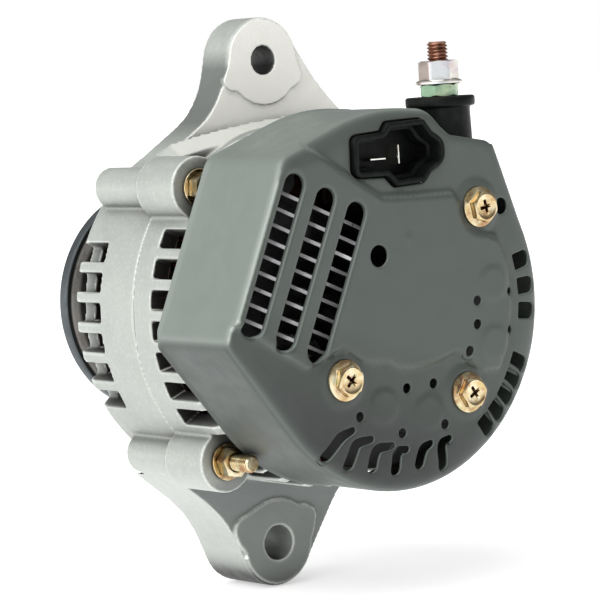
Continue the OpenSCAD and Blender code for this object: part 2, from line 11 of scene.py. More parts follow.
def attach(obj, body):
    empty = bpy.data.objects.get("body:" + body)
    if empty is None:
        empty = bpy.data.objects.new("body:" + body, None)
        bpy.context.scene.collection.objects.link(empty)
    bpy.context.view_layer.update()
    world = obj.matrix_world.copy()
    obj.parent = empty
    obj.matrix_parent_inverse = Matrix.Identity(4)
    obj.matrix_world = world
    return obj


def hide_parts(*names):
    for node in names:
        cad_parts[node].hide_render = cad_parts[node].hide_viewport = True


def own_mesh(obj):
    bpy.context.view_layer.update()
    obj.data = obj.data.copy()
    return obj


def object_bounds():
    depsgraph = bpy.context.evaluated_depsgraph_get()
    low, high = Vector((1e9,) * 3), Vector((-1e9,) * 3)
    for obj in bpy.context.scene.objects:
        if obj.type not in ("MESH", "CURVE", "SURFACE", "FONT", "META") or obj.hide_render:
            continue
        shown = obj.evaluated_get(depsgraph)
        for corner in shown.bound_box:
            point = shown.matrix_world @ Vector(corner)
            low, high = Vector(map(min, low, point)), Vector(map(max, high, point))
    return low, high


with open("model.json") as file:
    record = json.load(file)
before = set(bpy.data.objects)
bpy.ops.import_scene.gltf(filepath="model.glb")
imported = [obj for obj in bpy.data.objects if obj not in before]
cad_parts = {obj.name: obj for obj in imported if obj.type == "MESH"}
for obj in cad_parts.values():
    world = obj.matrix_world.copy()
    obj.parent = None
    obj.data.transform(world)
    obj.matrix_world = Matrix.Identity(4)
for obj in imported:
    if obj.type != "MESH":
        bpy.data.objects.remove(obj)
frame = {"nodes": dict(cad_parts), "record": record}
cad_box = [list(corner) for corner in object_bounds()]
scene = bpy.context.scene
MM = 0.001

# Directions of the object: the pulley is at +Y and the rear cover at -Y
UP = (0, 0, 1)
REAR = (0, -1, 0)
LEFT = (-1, 0, 0)
RIGHT = (1, 0, 0)


# ---- materials

class Tree:
    """A node tree and short ways to add to it."""

    def __init__(self, tree):
        self.tree = tree

    def add(self, kind, **values):
        node = self.tree.nodes.new(kind)
        for key, value in values.items():
            if key in node.inputs:
                node.inputs[key].default_value = value
            else:
                setattr(node, key, value)
        return node

    def link(self, out, inp):
        self.tree.links.new(out, inp)

    def ramp(self, value, *stops):
        """Grey levels that follow a value, through stops of (value, level)."""
        node = self.add("ShaderNodeValToRGB")
        while len(node.color_ramp.elements) < len(stops):
            node.color_ramp.elements.new(0.5)
        for element, (at, level) in zip(node.color_ramp.elements, stops):
            element.position = at
            element.color = (level, level, level, 1)
        self.link(value, node.inputs["Fac"])
        return node.outputs["Color"]


class Nodes(Tree):
    """A material, built up from small named steps."""

    def __init__(self, name, color, metallic, rough, **sockets):
        self.name = name
        self.mat = bpy.data.materials.new(name + "_look")
        self.mat.use_nodes = True
        self.mat.diffuse_color = (*color, 1)
        super().__init__(self.mat.node_tree)
        self.shader = self.tree.nodes["Principled BSDF"]
        for key, value in {"Metallic": metallic, "Roughness": rough, **sockets}.items():
            self.shader.inputs[key].default_value = value
        self.color = color
        self.height = None

    def coords(self, stretch=(1, 1, 1)):
        node = self.add("ShaderNodeMapping")
        node.inputs["Scale"].default_value = stretch
        self.link(self.add("ShaderNodeTexCoord").outputs["Object"], node.inputs["Vector"])
        return node.outputs["Vector"]

    def noise(self, scale, detail, stretch=(1, 1, 1)):
        node = self.add("ShaderNodeTexNoise", Scale=scale, Detail=detail, Roughness=0.55)
        self.link(self.coords(stretch), node.inputs["Vector"])
        return node.outputs["Fac"]

    def mix(self, a, b, factor, blend="MIX"):
        node = self.add("ShaderNodeMix", data_type="RGBA", blend_type=blend)
        for value, socket in ((factor, node.inputs[0]), (a, node.inputs[6]), (b, node.inputs[7])):
            if isinstance(value, (int, float)):
                socket.default_value = value
            elif isinstance(value, tuple):
                socket.default_value = (*value, 1)
            else:
                self.link(value, socket)
        return node.outputs[2]

    def both(self, a, b):
        """The mask where two masks overlap."""
        return self.mix(a, b, 1.0, "MULTIPLY")

    def tint(self, color, mask):
        """Another colour where a mask is white. A grey may be one number."""
        self.color = self.mix(self.color, color if isinstance(color, tuple) else (color,) * 3, mask)
        return self

    def spots(self, color, scale, low, high, most=1.0):
        """Patches of another colour where a noise rises from low to high."""
        return self.tint(color, self.ramp(self.noise(scale, 4.0), (low, 0), (high, most)))

    def crevice_shade(self, color, distance, most=0.8, low=0.25, high=0.85):
        """Painted shade: darker where the surface is sheltered."""
        shelter = self.add("ShaderNodeAmbientOcclusion", samples=6, Distance=distance)
        return self.tint(color, self.ramp(shelter.outputs["AO"], (low, most), (high, 0)))

    def edges(self, color, low=0.52, high=0.62, most=0.6):
        """Lighter along convex edges: partly wear, partly a painted highlight."""
        point = self.add("ShaderNodeNewGeometry").outputs["Pointiness"]
        return self.tint(color, self.ramp(point, (low, 0), (high, most)))

    def facing(self, color, axis, low, high, most=1.0, where=None):
        """Another colour on faces that look along an axis, kept to where another mask allows it."""
        dot = self.add("ShaderNodeVectorMath", operation="DOT_PRODUCT")
        self.link(self.add("ShaderNodeTexCoord").outputs["Normal"], dot.inputs[0])
        dot.inputs[1].default_value = axis
        mask = self.ramp(dot.outputs["Value"], (low, 0), (high, most))
        return self.tint(color, self.both(mask, where) if where else mask)

    def span(self, value, stops):
        """A mask by levels at lengths in mm."""
        low, high = stops[0][0], stops[-1][0]
        node = self.add("ShaderNodeMapRange")
        self.link(value, node.inputs["Value"])
        node.inputs["From Min"].default_value = low * MM
        node.inputs["From Max"].default_value = high * MM
        return self.ramp(node.outputs["Result"], *(((at - low) / (high - low), level) for at, level in stops))

    def along(self, axis, *stops):
        """A mask that follows the place along an axis, in mm."""
        dot = self.add("ShaderNodeVectorMath", operation="DOT_PRODUCT")
        self.link(self.add("ShaderNodeTexCoord").outputs["Object"], dot.inputs[0])
        dot.inputs[1].default_value = axis
        return self.span(dot.outputs["Value"], stops)

    def around(self, *stops):
        """A mask that follows the distance from the rotor's axis, in mm."""
        dot = self.add("ShaderNodeVectorMath", operation="DOT_PRODUCT")
        flat = self.coords((1, 0, 1))
        self.link(flat, dot.inputs[0])
        self.link(flat, dot.inputs[1])
        return self.span(dot.outputs["Value"], [(at * at * MM, level) for at, level in stops])

    def rough_noise(self, scale, low, high, stretch=(1, 1, 1)):
        value = self.ramp(self.noise(scale, 4.0, stretch), (0.3, low), (0.7, high))
        self.link(value, self.shader.inputs["Roughness"])
        return self

    def relief(self, value, depth_mm):
        """A fine height that follows a value, on top of the heights so far."""
        node = self.add("ShaderNodeBump", Strength=1.0, Distance=depth_mm * MM)
        self.link(value, node.inputs["Height"])
        if self.height:
            self.link(self.height, node.inputs["Normal"])
        self.height = node.outputs["Normal"]
        return self

    def bump(self, scale, depth_mm, detail=3.0, stretch=(1, 1, 1)):
        return self.relief(self.noise(scale, detail, stretch), depth_mm)

    def rings(self, pitch_mm, depth_mm):
        """Fine turned or stacked lines at an even pitch along the rotor's axis."""
        wave = self.add("ShaderNodeTexWave", wave_type="BANDS", bands_direction="Y",
                        Scale=1 / (pitch_mm * MM) / 20 * pi, Distortion=0.0)
        self.link(self.coords(), wave.inputs["Vector"])
        return self.relief(wave.outputs["Fac"], depth_mm)

    def done(self):
        self.link(self.color, self.shader.inputs["Base Color"])
        if self.height:
            self.link(self.height, self.shader.inputs["Normal"])
        return self.mat


def cast_aluminium():
    """Blasted castings, with light and shade painted into the colour: pale on top and on the upper ear's
    face, darker on the upper flank and on the lower ear, black on the walls inside the windows, and lighter
    along the edges.
    """
    look = (Nodes("cast_aluminium", (0.37, 0.39, 0.365), 0.3, 0.46)
            .spots((0.31, 0.325, 0.305), 60, 0.42, 0.75, most=0.5)
            .spots((0.47, 0.49, 0.46), 900, 0.5, 0.7, most=0.45))
    upper_ear_lit_zone = look.along(UP, (44, 0), (54, 1))
    upper_flank_shade_zone = look.along(UP, (47, 0), (55, 1), (70, 1), (76, 0))
    floor_lit_lower_half = look.along(UP, (-90, 1), (-50, 1), (-30, 0))
    lower_ear_shadow_zone = look.along(UP, (-54, 1), (-46, 0))
    ear_root_shadow_zone = look.along(UP, (-66, 0), (-59, 1), (-50, 1), (-46, 0))
    pivot_bore_lit_zone = look.both(look.along(UP, (-79, 0), (-78, 1), (-66, 1), (-65, 0)),
                           look.along(RIGHT, (-6.6, 0), (-6, 1), (6, 1), (6.6, 0)))
    windows = look.both(look.along((0, 1, 0), (-70, 0), (-69, 1), (-8, 1), (-6, 0)),
                        look.along(UP, (-48, 0), (-45, 1), (45, 1), (48, 0)))
    return (look
            # Painted light from the floor below: lighter downward faces low down.
            .facing((0.56, 0.585, 0.56), (-0.2, 0, -0.98), 0.35, 0.95, most=0.7, where=floor_lit_lower_half)
            # Painted shade: a darker upper flank.
            .facing((0.13, 0.14, 0.13), (-0.8, 0, 0.6), 0.6, 0.9, most=0.95, where=upper_flank_shade_zone)
            # Painted shadow: the lower ear's rear face darker under the cover.
            .facing((0.185, 0.200, 0.188), REAR, 0.6, 0.95, where=lower_ear_shadow_zone)
            # Painted shade: black in sheltered places, such as the walls inside the windows.
            .crevice_shade((0.015, 0.015, 0.014), 0.012, most=0.97, low=0.42, high=0.9)
            # The upper ear's machined rear face, made lighter still as painted light.
            .facing((0.93, 0.925, 0.87), REAR, 0.45, 0.9, most=0.94, where=upper_ear_lit_zone)
            # Painted light on faces that look up and to the rear.
            .facing((0.74, 0.75, 0.70), (0, -0.55, 0.835), 0.88, 1.0, most=0.9)
            # Painted shadow on the lower ear's root under the cover.
            .facing((0.19, 0.205, 0.20), REAR, 0.6, 0.95, most=0.8, where=ear_root_shadow_zone)
            # Painted shade: black on the rear-facing walls inside the windows.
            .facing((0.014, 0.014, 0.013), REAR, 0.75, 0.95, most=0.93, where=windows)
            # Painted light on the left-facing wall inside the pivot bore.
            .facing((0.34, 0.36, 0.34), LEFT, 0.1, 0.6, most=0.75, where=pivot_bore_lit_zone)
            # Painted highlight, with wear, along convex edges.
            .edges((0.90, 0.92, 0.88), low=0.51, high=0.58, most=0.75)
            .rough_noise(300, 0.40, 0.58)
            .bump(1500, 0.10, detail=4.0)
            .bump(240, 0.12))


def cover_paint():
    """Grey paint with light and shade painted into its colour: lighter on top and on the left side, darker on
    the face and the lower-left slope, darker still low down on the face, with a painted highlight along the
    left fold.
    """
    look = (Nodes("cover_paint", (0.105, 0.122, 0.110), 0.15, 0.42)
            .spots((0.118, 0.135, 0.124), 45, 0.4, 0.7, most=0.6)
            .spots((0.085, 0.100, 0.090), 700, 0.52, 0.72, most=0.45))
    left_side_lit_zone = look.along((0.901, 0, -0.434), (-54.4, 1), (-53.4, 0))
    low_face_shadow_zone = look.along((0.35, 0, 1), (-46, 1), (-10, 0))
    return (look
            # Painted light from above and from the left.
            .facing((0.165, 0.192, 0.173), UP, 0.4, 0.8)
            .facing((0.170, 0.197, 0.178), LEFT, 0.3, 0.7, where=left_side_lit_zone)
            # Painted shade on the rear face and the lower-left slope, and a painted shadow low down on the
            # face.
            .facing((0.070, 0.083, 0.074), REAR, 0.6, 0.9)
            .facing((0.060, 0.070, 0.064), (-0.78, 0, -0.63), 0.75, 0.95)
            .facing((0.016, 0.018, 0.017), REAR, 0.6, 0.95, most=0.9, where=low_face_shadow_zone)
            # Painted highlight along the left fold.
            .facing((0.42, 0.47, 0.43), (-0.70, -0.71, 0.05), 0.94, 0.99, most=0.8, where=left_side_lit_zone)
            # Painted shade in sheltered places.
            .crevice_shade((0.025, 0.028, 0.026), 0.004, most=0.8)
            .rough_noise(160, 0.36, 0.50)
            .bump(900, 0.035, detail=4.0)
            .bump(90, 0.10))


def groove_steel():
    """The belt groove, with painted shade on its root and in a dark line inside the rim, and the bare metal
    band left between.
    """
    look = (Nodes("groove_steel", (0.30, 0.285, 0.27), 0.9, 0.26)
            .spots((0.18, 0.16, 0.15), 90, 0.45, 0.7, most=0.7))
    groove_shade_mask = look.around((23, 1), (29.8, 0.95), (31, 0.15), (32.6, 0), (33.1, 1), (33.9, 1), (34.3, 0.6))
    # Painted shade where the mask is white.
    return look.tint(0.012, groove_shade_mask).rough_noise(200, 0.2, 0.4).rings(0.3, 0.01)


def extruded_aluminium():
    """Dark fins, with painted light on their rear-facing ends and a painted highlight on the ends beyond the
    cover's middle slot.
    """
    look = (Nodes("extruded_aluminium", (0.030, 0.031, 0.032), 0.6, 0.36)
            .spots(0.045, 160, 0.45, 0.7))
    third_slot_highlight_zone = look.along((0.9135, 0, -0.4067), (-30, 0), (-28, 1))
    grain = (1, 12, 1)
    return (look
            # Painted light on the rear-facing fin ends, and a painted highlight beyond the middle slot.
            .facing((0.43, 0.43, 0.44), REAR, 0.8, 0.95)
            .facing((0.80, 0.80, 0.82), REAR, 0.8, 0.95, where=third_slot_highlight_zone)
            .rough_noise(200, 0.24, 0.42, stretch=grain)
            .bump(500, 0.02, stretch=grain))


def zinc_and_steel():
    """Pulley, fasteners, shaft and bearings."""
    return [
        Nodes("pulley_steel", (0.045, 0.056, 0.062), 0.8, 0.34)
        .spots((0.10, 0.112, 0.118), 120, 0.45, 0.7, most=0.6)
        # Painted shade in sheltered places, and a painted highlight with wear along the edges.
        .crevice_shade(0.02, 0.004)
        .edges((0.42, 0.43, 0.43), most=0.5)
        .rough_noise(200, 0.25, 0.45).bump(900, 0.02).rings(0.35, 0.012),
        Nodes("yellow_zinc", (0.62, 0.47, 0.24), 1.0, 0.17)
        .spots((0.78, 0.70, 0.50), 260, 0.42, 0.62)
        .spots((0.36, 0.19, 0.10), 230, 0.50, 0.66, most=0.85)
        .spots((0.40, 0.46, 0.24), 330, 0.58, 0.72, most=0.6)
        # Painted shade, gold-brown, in the recesses.
        .crevice_shade((0.10, 0.055, 0.025), 0.003, most=0.9)
        .rough_noise(500, 0.14, 0.3).bump(900, 0.02),
        Nodes("rainbow_zinc", (0.74, 0.72, 0.66), 1.0, 0.17)
        .spots((0.62, 0.50, 0.56), 110, 0.5, 0.62, most=0.8)
        .spots((0.62, 0.58, 0.38), 150, 0.52, 0.66, most=0.7)
        .spots((0.45, 0.50, 0.58), 190, 0.56, 0.68, most=0.6)
        # Painted reflections: pinkish on faces that look left, blue-grey on faces that look to the rear and
        # left.
        .facing((0.60, 0.45, 0.46), (-0.99, 0.13, 0), 0.8, 0.95, most=0.6)
        .facing((0.40, 0.44, 0.50), (-0.607, -0.795, 0), 0.9, 0.99, most=0.6)
        # Painted shade in the recesses.
        .crevice_shade((0.08, 0.07, 0.06), 0.002)
        .rough_noise(400, 0.12, 0.26).bump(800, 0.02),
        Nodes("green_zinc", (0.26, 0.40, 0.27), 0.85, 0.32)
        .spots((0.50, 0.62, 0.42), 160, 0.45, 0.6)
        .spots((0.08, 0.16, 0.10), 240, 0.55, 0.7)
        .rough_noise(400, 0.25, 0.45).bump(900, 0.03),
        Nodes("bright_steel", (0.55, 0.55, 0.54), 1.0, 0.28)
        .spots((0.38, 0.38, 0.37), 150, 0.45, 0.7, most=0.6)
        .rough_noise(250, 0.2, 0.36).bump(700, 0.015).rings(0.3, 0.006),
        Nodes("bearing_steel", (0.70, 0.70, 0.70), 1.0, 0.12)
        .spots((0.6, 0.6, 0.59), 200, 0.45, 0.7, most=0.5)
        .rough_noise(200, 0.08, 0.18).rings(0.2, 0.004),
        Nodes("lamination_steel", (0.10, 0.10, 0.105), 0.8, 0.42)
        .spots((0.18, 0.15, 0.13), 90, 0.5, 0.7)
        .rough_noise(250, 0.34, 0.55).rings(0.5, 0.05),
        Nodes("soft_iron", (0.17, 0.175, 0.18), 0.85, 0.42)
        .spots((0.09, 0.085, 0.08), 80, 0.45, 0.7)
        # Painted shade in the recesses.
        .crevice_shade(0.03, 0.003)
        .rough_noise(250, 0.34, 0.55).bump(600, 0.04),
        # A dark aluminium: painted shade for parts deep under the cover, and more painted shade in sheltered
        # places.
        Nodes("dull_aluminium", (0.09, 0.092, 0.09), 0.7, 0.5)
        .spots(0.10, 90, 0.4, 0.7)
        .crevice_shade(0.008, 0.009, most=0.97)
        .rough_noise(200, 0.42, 0.6).bump(600, 0.03)]


def copper_and_brass():
    """Terminal, windings, slip rings, bearing cages and connector blades."""
    return [
        Nodes("copper_plated", (0.36, 0.17, 0.11), 0.95, 0.36)
        .spots((0.52, 0.30, 0.22), 300, 0.45, 0.65)
        .spots((0.10, 0.05, 0.035), 220, 0.5, 0.7, most=0.8)
        # Painted shade in the recesses.
        .crevice_shade((0.04, 0.02, 0.015), 0.001)
        .rough_noise(400, 0.28, 0.5).bump(900, 0.03),
        Nodes("bare_copper", (0.72, 0.36, 0.22), 1.0, 0.22)
        .spots((0.50, 0.24, 0.14), 160, 0.45, 0.7, most=0.7)
        # Painted shade in sheltered places.
        .crevice_shade((0.012, 0.006, 0.004), 0.012, most=0.96)
        .rough_noise(300, 0.16, 0.34).rings(0.25, 0.006),
        Nodes("enamelled_copper", (0.21, 0.035, 0.018), 0.45, 0.3,
              **{"Coat Weight": 0.6, "Coat Roughness": 0.15})
        .spots((0.34, 0.08, 0.03), 180, 0.45, 0.65)
        .spots((0.06, 0.012, 0.01), 110, 0.5, 0.7, most=0.8)
        # Painted shade between the wires.
        .crevice_shade((0.015, 0.005, 0.004), 0.003)
        .rough_noise(300, 0.2, 0.4).bump(700, 0.02),
        Nodes("cage_brass", (0.55, 0.40, 0.14), 1.0, 0.28)
        .spots((0.38, 0.26, 0.09), 200, 0.45, 0.7, most=0.6)
        .rough_noise(300, 0.22, 0.38).bump(700, 0.01),
        Nodes("tinned_brass", (0.80, 0.79, 0.74), 1.0, 0.2)
        .spots((0.66, 0.62, 0.5), 300, 0.5, 0.7)
        .rough_noise(300, 0.14, 0.3).bump(700, 0.01)]


def plastic_and_carbon():
    """Insulators, holders, seals and brushes."""
    return [
        Nodes("black_plastic", (0.0045, 0.006, 0.005), 0.0, 0.42, **{"Specular IOR Level": 0.10})
        .spots((0.010, 0.012, 0.011), 300, 0.5, 0.7)
        # Painted shade in the recesses.
        .crevice_shade(0.002, 0.005)
        .rough_noise(350, 0.3, 0.48).bump(1600, 0.02).bump(120, 0.05),
        Nodes("natural_plastic", (0.42, 0.34, 0.22), 0.0, 0.45)
        .spots((0.34, 0.27, 0.17), 200, 0.45, 0.7)
        .rough_noise(300, 0.4, 0.55).bump(900, 0.02),
        Nodes("seal_rubber", (0.02, 0.015, 0.013), 0.0, 0.55)
        .spots((0.035, 0.028, 0.025), 250, 0.5, 0.7)
        .rough_noise(300, 0.45, 0.65).bump(1200, 0.02),
        Nodes("carbon", (0.03, 0.03, 0.03), 0.2, 0.5)
        .spots(0.06, 600, 0.5, 0.7)
        .rough_noise(500, 0.4, 0.6).bump(1500, 0.03)]


MAT = {look.name: look.done() for look in
       [cast_aluminium(), cover_paint(), groove_steel(), extruded_aluminium()]
       + zinc_and_steel() + copper_and_brass() + plastic_and_carbon()}


# ---- mesh helpers

def mesh_of(name, verts_mm, faces):
    mesh = bpy.data.meshes.new(name)
    mesh.from_pydata([tuple(c * MM for c in v) for v in verts_mm], [], faces)
    return mesh


def free_piece(name, verts_mm, faces):
    obj = bpy.data.objects.new(name, mesh_of(name, verts_mm, faces))
    scene.collection.objects.link(obj)
    return obj


@contextmanager
def editing(mesh):
    """A mesh's faces and points, written back at the end."""
    bm = bmesh.new()
    bm.from_mesh(mesh)
    yield bm
    bm.to_mesh(mesh)
    bm.free()


def piece(name, verts_mm, faces, body, slot, node=None, mats=None, sharp=35, merge=0.0):
    """A visible piece that rides a body, in the place of a CAD node. Edges over the angle stay sharp."""
    obj = free_piece(name, verts_mm, faces)
    outward(obj, merge)
    for m in mats or [slot]:
        obj.data.materials.append(MAT[m])
    shade(obj, sharp)
    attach(obj, body)
    if node:
        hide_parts(node)
    return obj


def outward(obj, merge=0.0):
    """Faces that look outwards, and close points merged."""
    with editing(obj.data) as bm:
        if merge:
            bmesh.ops.remove_doubles(bm, verts=bm.verts, dist=merge * MM)
        bmesh.ops.recalc_face_normals(bm, faces=bm.faces)


def shade(obj, sharp):
    obj.data.shade_smooth()
    if sharp:
        obj.data.set_sharp_from_angle(angle=radians(sharp))


def apply_modifiers(obj):
    deps = bpy.context.evaluated_depsgraph_get()
    mesh = bpy.data.meshes.new_from_object(obj.evaluated_get(deps))
    obj.modifiers.clear()
    obj.data = mesh


def weave(rings, close=False, caps=False):
    """Vertices and quads through rings of equal point counts."""
    n = len(rings[0])
    verts = [p for ring in rings for p in ring]
    faces = []
    pairs = [(k, k + 1) for k in range(len(rings) - 1)] + ([(len(rings) - 1, 0)] if close else [])
    for a, b in pairs:
        for i in range(n):
            j = (i + 1) % n
            faces.append((a * n + i, a * n + j, b * n + j, b * n + i))
    if caps:
        faces.append(tuple(range(n)))
        faces.append(tuple((len(rings) - 1) * n + i for i in range(n)))
    return verts, faces


def join(parts):
    verts, faces = [], []
    for v, f in parts:
        base = len(verts)
        verts += list(v)
        faces += [tuple(i + base for i in face) for face in f]
    return verts, faces


def place(way, at):
    """Local axes of a turned piece, whose height runs to the rear, to the front or upwards."""
    if way == "rear":
        return lambda u, v, h: (at[0] + u, -h, at[1] + v)
    if way == "front":
        return lambda u, v, h: (at[0] + u, h, at[1] + v)
    return lambda u, v, h: (at[0] + u, at[1] + v, h)


def lathe(put, profile, n=96, close=False, caps=False):
    """A profile of [radius, height] turned about the local axis."""
    rings = [[put(r * cos(2 * pi * i / n), r * sin(2 * pi * i / n), h) for i in range(n)]
             for r, h in profile]
    return weave(rings, close, caps)


def free_ring(put, n, turn, radius, height):
    """A ring whose radius may be a function of the angle, and whose height may be one of the radius."""
    out = []
    for i in range(n):
        a = 2 * pi * i / n
        r = radius(a) if callable(radius) else radius
        h = height(r) if callable(height) else height
        out.append(put(r * cos(a + turn), r * sin(a + turn), h))
    return out


def hex_radius(angle, flats):
    """The radius of a six-sided prism at an angle, its corners slightly rounded."""
    a = (degrees(angle) + 30) % 60 - 30
    return min(flats / 2 / cos(radians(a)), flats / 2 / cos(radians(30)) * 0.985)


def hex_nut(put, flats, h0, h1, bore, turn, low_cone=True):
    """A hexagon nut with coned ends."""
    face_r = flats / 2 * 0.97
    slope = tan(radians(28))
    chamfer = 0.35

    def outer(a):
        return hex_radius(a, flats)

    def halfway(a):
        return (face_r + outer(a)) / 2

    def cone(h, way, on=True):
        return lambda r: h - way * (max(0, r - face_r) * slope if on else 0)

    sections = [(bore, h0 + chamfer), (bore + chamfer, h0), (face_r * 0.99, h0),
                (halfway, cone(h0, -1, low_cone)), (outer, cone(h0, -1, low_cone)), (outer, cone(h1, 1)),
                (halfway, cone(h1, 1)), (face_r * 0.99, h1), (bore + chamfer, h1), (bore, h1 - chamfer)]
    return weave([free_ring(put, 96, turn, *section) for section in sections], close=True)


def thread(put, r, pitch, h0, h1, tip):
    """A screw thread from h0 to h1 with a chamfered end."""
    around, steps = 48, 8
    depth, crest = 0.58 * pitch, 0.12
    count = int((h1 - h0) / pitch * steps)
    rings = []
    for k in range(count + 1):
        h = h0 + (h1 - h0) * k / count
        ring = []
        for i in range(around):
            a = 2 * pi * i / around
            tooth = abs(2 * ((h / pitch - i / around) % 1) - 1)
            tooth = min(1.0, max(0.0, (tooth - crest) / (1 - 2 * crest)))
            reach = min(r - depth * (1 - tooth), r - tip + h1 - h)
            ring.append(put(reach * cos(a), reach * sin(a), h))
        rings.append(ring)
    return weave(rings, caps=True)


def polar(r, a):
    return (r * cos(radians(a)), r * sin(radians(a)))


def arc(c, r, start, by, step):
    n = max(1, int(ceil(abs(by) / step)))
    return [(c[0] + polar(r, start + by * k / n)[0], c[1] + polar(r, start + by * k / n)[1])
            for k in range(n + 1)]


def belt(circles, step):
    """The outline of a belt around circles (x, z, r). Negative radii bend it inwards."""
    def normal(a, b):
        d = hypot(b[0] - a[0], b[1] - a[1])
        return degrees(atan2(b[1] - a[1], b[0] - a[0])) - degrees(acos((a[2] - b[2]) / d))
    out = []
    for i, here in enumerate(circles):
        into = normal(circles[i - 1], here)
        leave = normal(here, circles[(i + 1) % len(circles)])
        sweep = (leave - into) % 360 if here[2] > 0 else -((into - leave) % 360)
        out += arc(here, here[2], into, sweep, step)
    return out


def resampled(points, spacing):
    """A closed outline at an even spacing."""
    p = np.array(points + [points[0]], float)
    run = np.concatenate([[0], np.cumsum(np.hypot(*(p[1:] - p[:-1]).T))])
    n = int(run[-1] / spacing)
    at = np.linspace(0, run[-1], n, endpoint=False)
    return np.stack([np.interp(at, run, p[:, 0]), np.interp(at, run, p[:, 1])], 1)


def rounded(corners, radii, grow=0.0, arc_steps=5, edge_steps=3):
    """An outline with rounded corners, moved outwards by grow. Corners run anticlockwise."""
    lines = []
    for here, following in zip(corners, corners[1:] + corners[:1]):
        d = (Vector(following) - Vector(here)).normalized()
        lines.append((Vector(here) + Vector((d.y, -d.x)) * grow, d))
    bends = []
    for i, (b, db) in enumerate(lines):
        a, da = lines[i - 1]
        cross = da.cross(db)
        corner = a + da * ((b - a).cross(db) / cross)
        r = max(0.05, radii[i] + (grow if cross > 0 else -grow))
        half = (pi - da.angle(db)) / 2
        centre = corner + (db - da).normalized() * (r / sin(half))
        bends.append((centre, r, corner - da * (r / tan(half)), corner + db * (r / tan(half))))
    out = []
    for i, (centre, r, start, end) in enumerate(bends):
        a0 = atan2(*(start - centre).yx)
        turn = (atan2(*(end - centre).yx) - a0 + pi) % (2 * pi) - pi
        angles = [a0 + turn * k / arc_steps for k in range(arc_steps + 1)]
        out += [tuple(centre + Vector((cos(a), sin(a))) * r) for a in angles]
        following = bends[(i + 1) % len(bends)][2]
        out += [tuple(end.lerp(following, k / edge_steps)) for k in range(1, edge_steps)]
    return out


def stroke(path, radius, grow=0.0, ends=7, samples=6, tip=None):
    """The outline of a thick smooth line through a few points, with round ends. It starts tip wide."""
    pts = smooth_path(path, samples)
    thin = radius if tip is None else tip
    left, right = [], []
    for i, p in enumerate(pts):
        r = thin + (radius - thin) * min(1, 2.2 * i / len(pts)) + grow
        a, b = pts[max(0, i - 1)], pts[min(len(pts) - 1, i + 1)]
        d = Vector((b[0] - a[0], b[1] - a[1])).normalized()
        left.append((p[0] - d.y * r, p[1] + d.x * r))
        right.append((p[0] + d.y * r, p[1] - d.x * r))
    d0 = degrees(atan2(pts[1][1] - pts[0][1], pts[1][0] - pts[0][0]))
    d1 = degrees(atan2(pts[-1][1] - pts[-2][1], pts[-1][0] - pts[-2][0]))
    tail = arc(pts[0], thin + grow, d0 + 90, 180, 180 / ends)[1:-1]
    nose = arc(pts[-1], radius + grow, d1 - 90, 180, 180 / ends)[1:-1]
    return right + nose + left[::-1] + tail


def smooth_path(path, samples):
    if len(path) == 2:
        return [tuple(Vector(path[0]).lerp(Vector(path[1]), k / samples)) for k in range(samples + 1)]
    p = [Vector(q) for q in path]
    p = [p[0] * 2 - p[1]] + p + [p[-1] * 2 - p[-2]]
    out = []
    for i in range(1, len(p) - 2):
        for k in range(samples):
            t = k / samples
            out.append(tuple(0.5 * (2 * p[i] + (p[i + 1] - p[i - 1]) * t
                                    + (2 * p[i - 1] - 5 * p[i] + 4 * p[i + 1] - p[i + 2]) * t * t
                                    + (3 * p[i] - p[i - 1] - 3 * p[i + 1] + p[i + 2]) * t ** 3)))
    out.append(tuple(p[-2]))
    return out


# ---- rear cover

# The open edge and the face along the rotor's axis, and the sheet's thickness
RIM_Y, FACE_Y, SHEET = -80.0, -114.0, 1.3
# The outline, as a belt around circles (x, z, r)
COVER = [(0, 0, 51.4), (32.2, 40.6, 6), (22.8, 55.4, -7), (8.8, 46.7, 9.2), (0, 0, 56.4),
         (-36.6, 40.2, 6), (-56.8, -3.4, 5)]
# How wide and how deep the cover's outer edge is rounded, by direction from the rotor's axis
EDGE = [(-175, 2.2, 2.2), (-168, 4, 3), (-150, 7, 4.2), (-120, 8.5, 4.5), (-60, 8.5, 4.5), (-20, 7.5, 4),
        (25, 7, 4), (42, 5, 3), (55, 3.2, 2.4), (66, 3, 2.4), (80, 4.5, 3), (100, 7, 3.6), (118, 8.5, 4),
        (130, 5, 3), (138, 2.2, 2.2), (185, 2.2, 2.2)]
# Places (x, z) on the face: the notch for the terminal, the screws, the low domes over the diodes, the
# socket, the raised middle and the hook-shaped vents
NOTCH = ((18.2, -112.6, 38.2), (37.0, -78, 60))
SCREWS = [(28.3, 26.7), (20.5, -25.6), (-23.7, -17.4)]
DIODES = [(31.1, 4.6), (30.6, -12.6), (6.6, -29.7), (-9.6, -26.4)]
SOCKET = [(-16.0, 49.3), (-16.3, 37.9), (-4.6, 37.7), (-1.6, 34.7), (9.1, 35.2), (11.7, 38.2),
          (16.6, 40.4), (16.6, 46.6), (12.3, 49.2), (9.4, 52.9), (-3.6, 52.5), (-5.6, 50.0)]
SOCKET_R = [2.2, 2.2, 1.0, 1.4, 1.4, 2.0, 4.0, 4.0, 2.0, 1.6, 1.4, 1.0]
PLATEAU = [(-62, 3), (-36, -13), (-24, -8.5), (-16.8, -12.2), (-12.5, -13.5), (-8, -13.8), (-3.9, -15.7),
           (1.6, -16.6), (8.4, -15.9), (12.4, -15.2), (16, -13.6), (22, -16.2), (26, -20), (33, -20),
           (36.5, -13), (38.5, -2), (37.6, 10), (34.5, 17.5), (24, 21.4), (21.2, 28), (19, 31.4),
           (3.9, 31.6), (-7.1, 32.0), (-14.5, 36.5), (-24, 42.5), (-38, 52)]
